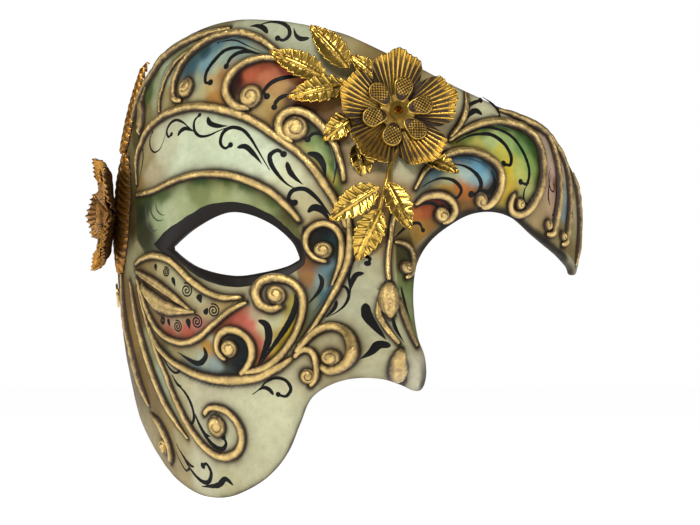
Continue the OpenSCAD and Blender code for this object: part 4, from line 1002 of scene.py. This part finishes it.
def polar_reach(outline, angles):
    """How far out a closed outline lies from the middle of the eye, at each stretched angle."""
    line = closed(np.asarray(outline, float)) - EYE_MIDDLE
    line[:, 1] *= EYE_STRETCH
    at = np.unwrap(np.arctan2(line[:, 1], line[:, 0]))
    if at[-1] < at[0]:
        at, line = at[::-1], line[::-1]
    turn = at[0] + (angles - at[0]) % (2 * np.pi)
    return np.interp(turn, at, np.hypot(line[:, 0], line[:, 1]))


def paint_lids():
    """The broad black line round the eye opening."""
    a = np.linspace(0, 2 * np.pi, 160 * FINE, endpoint=False)
    near = polar_reach(EYE_OUTLINE, a) + 0.12
    far = polar_reach(smooth(EYE_BAND + EYE_BAND[:1], 8)[:-1], a)
    far = far * (1 + 0.012 * noise(np.stack([8 * np.cos(a), 8 * np.sin(a), 0 * a], 1), 1.0, 51))
    k = np.linspace(0, 1, 9)[None, :]
    reach = near[:, None] * (1 - k) + far[:, None] * k
    u = EYE_MIDDLE[0] + reach * np.cos(a)[:, None]
    z = EYE_MIDDLE[1] + reach * np.sin(a)[:, None] / EYE_STRETCH
    lids = Lump()
    height = LID_PAINT_T * (1 - (2 * k - 1) ** 6) + 0 * u
    lids.add(skin(u, z, height), grid_faces(*u.shape, wrap=True, flip=True))
    lids.place("black_lid_line", LID_BLACK, "painted_shell")


paint_lids()


# ---- brass flowers ----
FLOWER_D, FLOWER_H, CUP_R = 42, 2.4, 38
PETALS, PETAL_RIBS, PETAL_BORE, PETAL_T, PETAL_SPIN = 5, 12, 4.8, 0.6, 88
STAMENS, STAMEN_AT, STAMEN_START, STAMEN_REACH, STAMEN_Z, BEAD_PITCH = 6, 9.0, -13, 3.4, 2.1, 1.25
CALYX_TOP, CALYX_UNDER = 2.6, 1.2
UNDERSIDE_SHADE = 0.9              # painted shade: how dark every hidden underside is made


def turned(degrees):
    c, s = math.cos(math.radians(degrees)), math.sin(math.radians(degrees))
    return np.array([[c, -s, 0], [s, c, 0], [0, 0, 1]])


def on_face(u, z, h=0.0, spin=0.0):
    """Axes (columns) and origin of a frame on the shell: X along u, Y up the face, Z outwards."""
    out = out_dir(u, z)
    side = unit(np.cross([0, 0, 1], out))
    axes = np.stack([side, np.cross(out, side), out], 1) @ turned(spin)
    return axes, face(u, z) + out * h


def to_world(at, *local):
    axes, origin = at
    return np.stack(local, -1) @ axes.T + origin


def add_sheet(lump, top, under, patina_and_shade, wrap=False):
    """A thin stamped sheet, seen from its top, with its underside darkened as painted shade."""
    co, faces = slab(top, under, wrap)
    dark = np.concatenate([patina_and_shade.ravel(), np.full(patina_and_shade.size, UNDERSIDE_SHADE)])
    lump.add(co, [f[:, ::-1] for f in faces], dark)


def petal_sheet(lump, at):
    """A stamped ring of five scalloped, fluted petals, cupped to a radius."""
    a = np.linspace(0, 2 * np.pi, 240 * FINE, endpoint=False)[:, None]
    r = np.linspace(0, 1, 10 * FINE)[None, :]
    p = a * PETALS / 2
    uneven = noise(np.concatenate([np.cos(a), np.sin(a), 0 * a + 1], 1), 0.12, 3)[:, None]
    edge = FLOWER_D / 2 * (0.5 + 0.47 * np.abs(np.cos(p)) ** 0.35 + 0.022 * np.cos(6 * p) + 0.012 * uneven)
    dist = PETAL_BORE / 2 + (edge - PETAL_BORE / 2) * r
    split = np.abs(np.sin(p)) ** 6                       # 1 between two petals
    flute = (0.5 + 0.5 * np.cos(PETALS * PETAL_RIBS * a)) ** 1.8
    ramp = ease((dist / FLOWER_D * 2 - 0.25) * 2.5)
    lift = CUP_R - np.sqrt(np.maximum(CUP_R ** 2 - dist ** 2, 1))
    curl = 0.5 * ease((r - 0.8) * 5) * (1 - 2 * flute * 0.3)
    top = lift + 0.62 * flute * ramp - 0.9 * split * ramp - curl
    x, y = dist * np.cos(a), dist * np.sin(a)
    grooves = 0.85 * (1 - flute) * ramp * (1 - 0.5 * ease((r - 0.82) * 8))
    # darker in the flute grooves (tarnish in the hollows together with painted shade), and between the petals
    # and round the middle under the stamens (painted shade)
    add_sheet(lump, to_world(at, x, y, top), to_world(at, x, y, top - PETAL_T),
              grooves + 0.7 * split + 0.6 * (1 - ramp), wrap=True)


def stamen_ring(lump, at):
    """Beaded, spoon-shaped stamens round the middle, on a star-shaped calyx."""
    axes, origin = at
    a = np.linspace(0, 2 * np.pi, 32 * FINE, endpoint=False)[:, None]
    r = np.linspace(0, 1, 9 * FINE)[None, :]
    reach = STAMEN_REACH * (1 + 0.75 * np.clip(-np.cos(a), 0, 1) ** 5)
    x = STAMEN_AT + reach * r * np.cos(a)
    y = reach * r * np.sin(a)
    beads = (0.5 + 0.5 * np.cos(2 * np.pi * x / BEAD_PITCH) * np.cos(2 * np.pi * y / BEAD_PITCH)) ** 1.5
    bead = beads * ease((0.86 - r) * 6) * ease((x - 5.0) * 0.8)
    rim = hump(r - 0.92, 0.07)
    z = (STAMEN_Z + 1.5 * np.sqrt(np.maximum(1 - r ** 4, 0)) - 0.6 * ease((8 - x) / 4) + 0.8 * bead
         + 0.3 * rim)
    for k in range(STAMENS):
        spoke = (axes @ turned(k * 360 / STAMENS + STAMEN_START), origin)
        # darker between the beads and lighter on the bead tops and spoon rim: tarnish in the hollows and wear
        # on the tops, together with painted shade
        lump.add(to_world(spoke, x, y, z), grid_faces(*x.shape, wrap=True), (1 - bead) * (1 - 0.8 * rim))
    a = np.linspace(0, 2 * np.pi, 60 * FINE, endpoint=False)[:, None]
    r = np.linspace(0, 1, 8)[None, :]
    d = 2.2 + (5.6 + 2.0 * np.cos(STAMENS * (a - math.radians(STAMEN_START)))) * r
    x, y = d * np.cos(a), d * np.sin(a)
    co, faces = slab(to_world(at, x, y, CALYX_TOP - 0.6 * r + 0 * a),
                     to_world(at, x, y, CALYX_UNDER + 0 * r + 0 * a), wrap=True)
    lump.add(co, [f[:, ::-1] for f in faces], 0.6)


def make_flower(prefix, at, material, slot):
    for part, build in (("_petals", petal_sheet), ("_stamens", stamen_ring)):
        lump = Lump()
        build(lump, at)
        lump.place(prefix + part, material, slot, prefix + part)
    recolour(prefix + "_rivet", material)


make_flower("forehead_flower", on_face(*FLOWER_AT, FLOWER_H, PETAL_SPIN), BRASS, "bright_brass")
# the temple flower looks straight out of the side of the head, a few degrees towards the front
TEMPLE_YAW = 6
temple_axes = turned(TEMPLE_YAW) @ np.array([[0, 0, -1], [0, 1, 0], [1, 0, 0]]) @ turned(PETAL_SPIN)


def on_temple(height, spin=0.0, lean=0.0):
    """A frame above the temple rivet; lean tips its X axis outwards."""
    c, s = math.cos(lean), math.sin(lean)
    tip = np.array([[c, 0, -s], [0, 1, 0], [s, 0, c]])
    return temple_axes @ turned(spin) @ tip, face(*TEMPLE_AT) + out_dir(*TEMPLE_AT) * height


make_flower("temple_flower", on_temple(FLOWER_H), OLD_BRASS, "antique_brass")


# ---- brass leaves: (u, z, height, direction, length, width) ----
SPRAYS = {
    "forehead_spray": [(-17.6, 53.2, 1.6, 153, 21, 9), (-10.3, 56, 2.2, 129, 20, 9),
                       (-10.9, 51, 1.4, 193, 20, 9)],
    "forehead_leaf_right": [(1.9, 49, 1.4, 134, 17, 8)],
    "forehead_leaf_small": [(-9.3, 40.5, 0.8, 220, 12.5, 8)],
    "flower_tip_leaf": [(11.2, 26.2, 1.4, -25, 13, 7)],
    "bridge_bud_leaf": [(-8.1, 31, 0.8, 280, 12, 8)],
    "bridge_spray": [(-2.3, 16.5, 1.4, 214, 19, 9.5), (-1.4, 10, 2.2, 244, 18.5, 9.5),
                     (-0.2, 17.5, 1.4, 292, 17.5, 8.5)]}
# wire stems: each point is (u, z, height)
STEMS = {
    "forehead_spray": [[(1, 44, 2.2), (-4, 48, 2.6), (-10, 51.4, 2.6), (-18, 53.4, 2.4)]],
    "bridge_spray": [[(5, 33, 2.6), (3.4, 27, 2.6), (0.6, 21, 2.4), (-1, 15, 2.6), (-2, 9, 2.4)],
                     [(2, 30, 1.8), (1.6, 24, 1.8), (0.4, 18, 1.8), (1, 12, 1.6)]]}
LEAF_T, VEIN_PITCH, VEIN_START, STEM_R = 0.5, 2.7, 0.35, 0.75


def add_leaf(lump, at, length, width):
    """A stamped leaf with toothed edges, a raised midrib and slanting veins."""
    s = np.linspace(0, 1, 26 * FINE)[:, None]
    t = np.linspace(-1, 1, 6 * FINE + 1)[None, :]
    veins = round(length / VEIN_PITCH)
    saw = (s * veins + VEIN_START) % 1.0
    outline = np.sin(np.pi * np.clip(s, 0.004, 0.996) ** 0.78) ** 0.75
    x = length * (s + 0.02 * np.abs(t))
    y = t * width / 2 * outline * (0.88 + 0.2 * saw)
    phase = s * veins + VEIN_START - np.abs(t) * 0.75
    vein = hump(np.sin(np.pi * phase), 0.34)
    rib = hump(y, 0.55)
    top = (0.55 + 1.3 * np.sin(np.pi * s) + 1.1 * np.abs(t) ** 1.4 - 0.96 * s ** 3
           + 0.34 * vein * (1 - rib) * np.abs(t) ** 0.35 + 0.75 * rib)
    # painted shade: a dark band down one side of every vein and along both sides of the midrib, with the
    # toothed edges kept lighter
    beside = hump(np.sin(np.pi * (phase - 0.24)), 0.3)
    dark = 0.75 * beside * (1 - rib) + 0.6 * hump(np.abs(y) - 1.0, 0.35) - 0.3 * np.abs(t) ** 8
    add_sheet(lump, to_world(at, x, y, top), to_world(at, x, y, top - LEAF_T), np.clip(dark, 0, 1))


def add_stem(lump, points):
    path, _ = even_path(points, 1.0 / FINE)
    u, z, height = path.T
    n = out_dir(u, z)
    line = face(u, z) + n * height[:, None]
    t = unit(np.gradient(line, axis=0))
    side = unit(np.cross(t, n))
    a = np.linspace(0, 2 * np.pi, 12, endpoint=False)[None, :, None]
    ring = line[:, None] + STEM_R * (np.cos(a) * side[:, None] + np.sin(a) * unit(np.cross(side, t))[:, None])
    ring = np.concatenate([ring, ring[:, :1]], 1)
    lump.add(ring, grid_faces(*ring.shape[:2]), 0.35)


for name, leaves in SPRAYS.items():
    spray = Lump()
    for u, z, height, way, length, width in leaves:
        add_leaf(spray, on_face(u, z, height, way), length, width)
    for points in STEMS.get(name, []):
        add_stem(spray, points)
    spray.place(name, BRASS, "bright_brass", name)


# ---- leafy brass behind the temple flower: fronds have (u, z, width) points ----
ROSETTE_FROND = [(-106, -9, 2), (-107, -2, 14), (-107.5, 7, 20), (-107.5, 17, 20), (-107, 26, 14),
                 (-106, 33, 2)]
FEATHER_FROND = [(-112, 33, 2), (-112, 39, 7), (-111, 47, 7.4), (-109, 55, 5.4), (-107, 62, 3),
                 (-106, 65.5, 0.8)]
BARB_PITCH, BARB_SLANT, FROND_RISE = 2.6, 1.4, 1.8
ROSETTE_LEAVES, ROSETTE_LENGTH, ROSETTE_W, ROSETTE_TILT, ROSETTE_H = 7, 17, 8, math.radians(14), 1.5


def add_frond(lump, points):
    """A broad feathery leaf that hugs the temple: overlapping barbs along a spine."""
    path, s = even_path(points, 0.9 / FINE)
    s = s[:, None]
    t = headings(path)
    w = np.maximum(0.8, path[:, 2:3])
    k = np.linspace(-1, 1, 8 * FINE + 1)[None, :]
    barb = (s / BARB_PITCH + BARB_SLANT * np.abs(k)) % 1.0
    wide = w / 2 * (0.9 + 0.16 * ((s / BARB_PITCH + BARB_SLANT) % 1.0) * np.abs(k) ** 4)
    u = path[:, :1] - t[:, 1:2] * k * wide
    z = path[:, 1:2] + t[:, 0:1] * k * wide
    off_spine = 1 - hump(k, 0.12)
    h = (np.minimum(FROND_RISE, w * 0.6) * np.sqrt(np.maximum(1 - np.abs(k) ** 2.6, 0))
         + 0.9 * barb * off_spine + 0.8 * hump(k, 0.10) - 0.1)
    # painted shade where each barb tucks under the next one, and darker along both edges
    lump.add(skin(u, z, h), grid_faces(*u.shape), 0.85 * (1 - barb) * off_spine + 0.3 * np.abs(k) ** 6)


rosette, feather = Lump(), Lump()
add_frond(rosette, ROSETTE_FROND)
for k in range(ROSETTE_LEAVES):
    at = on_temple(ROSETTE_H, (k + 0.5) * 360 / ROSETTE_LEAVES, ROSETTE_TILT)
    add_leaf(rosette, at, ROSETTE_LENGTH, ROSETTE_W)
add_frond(feather, FEATHER_FROND)
for name, lump in (("temple_rosette", rosette), ("temple_feather_leaf", feather)):
    lump.place(name, OLD_BRASS, "antique_brass", name)

# ---- eyelets keep their CAD shape ----
EYELET_BRASS = new_material("eyelet_brass", Base_Color=(0.62, 0.43, 0.16, 1), Metallic=1.0, Roughness=0.3)[0]
for name in ("ribbon_eyelet_right", "ribbon_eyelet_left"):
    recolour(name, EYELET_BRASS)

# ---- camera, light and floor, in metres ----
CAMERA_TARGET = (-0.0065, 0.0324, -0.006)
CAMERA_DISTANCE, CAMERA_AZIMUTH, CAMERA_ELEVATION = 0.7, -9.5, -3.0
az, el = math.radians(CAMERA_AZIMUTH), math.radians(CAMERA_ELEVATION)
camera_way = np.array([math.sin(az) * math.cos(el), -math.cos(az) * math.cos(el), math.sin(el)])


def aim(thing, target):
    thing.rotation_euler = (Vector(target) - thing.location).to_track_quat("-Z", "Y").to_euler()


camera = add_object("camera", bpy.data.cameras.new("camera"))
camera.data.lens, camera.data.sensor_width = 105.5, 36
camera.location = np.array(CAMERA_TARGET) + camera_way * CAMERA_DISTANCE
aim(camera, CAMERA_TARGET)
bpy.context.scene.camera = camera


def soft_light(name, at, size, power, colour=(1, 1, 1)):
    data = bpy.data.lights.new(name, "AREA")
    data.shape, data.size, data.energy, data.color = "DISK", size, power, colour
    light = add_object(name, data)
    light.location = at
    aim(light, (0, 0.02, 0))


soft_light("key", (-0.35, -0.75, 0.75), 0.4, 9.5, (1.0, 0.98, 0.94))
soft_light("fill", (0.8, -0.7, 0.1), 0.5, 3.5, (0.95, 0.97, 1.0))
soft_light("side", (-1.0, -0.1, 0.1), 0.5, 2.5)
soft_light("back", (0.1, 0.9, 0.7), 0.6, 3.0)

FLOOR_Z, FLOOR_R = -0.147, 12.0
corners = [(sx * FLOOR_R, sy * FLOOR_R, FLOOR_Z) for sx, sy in ((-1, -1), (1, -1), (1, 1), (-1, 1))]
floor_mesh = bpy.data.meshes.new("floor")
floor_mesh.from_pydata(corners, [], [(0, 1, 2, 3)])
floor_mesh.materials.append(new_material("pale_floor", Base_Color=(0.92, 0.92, 0.92, 1), Roughness=0.9,
                                         Emission_Color=(1, 1, 1, 1), Emission_Strength=0.85)[0])
floor = add_object("floor", floor_mesh)

# the world is white to the camera and dim to everything else
WORLD_DIM, WORLD_WHITE = 0.15, 1.0
world = bpy.data.worlds.new("world")
bpy.context.scene.world = world
world.use_nodes = True
sky = world.node_tree.nodes["Background"]
ray = node(world.node_tree, "ShaderNodeLightPath")
strength = remap(world.node_tree, ray.outputs["Is Camera Ray"], 0, 1, WORLD_DIM, WORLD_WHITE)
world.node_tree.links.new(strength, sky.inputs["Strength"])
sky.inputs["Color"].default_value = (1, 1, 1, 1)
bpy.context.scene.view_settings.view_transform = "Standard"
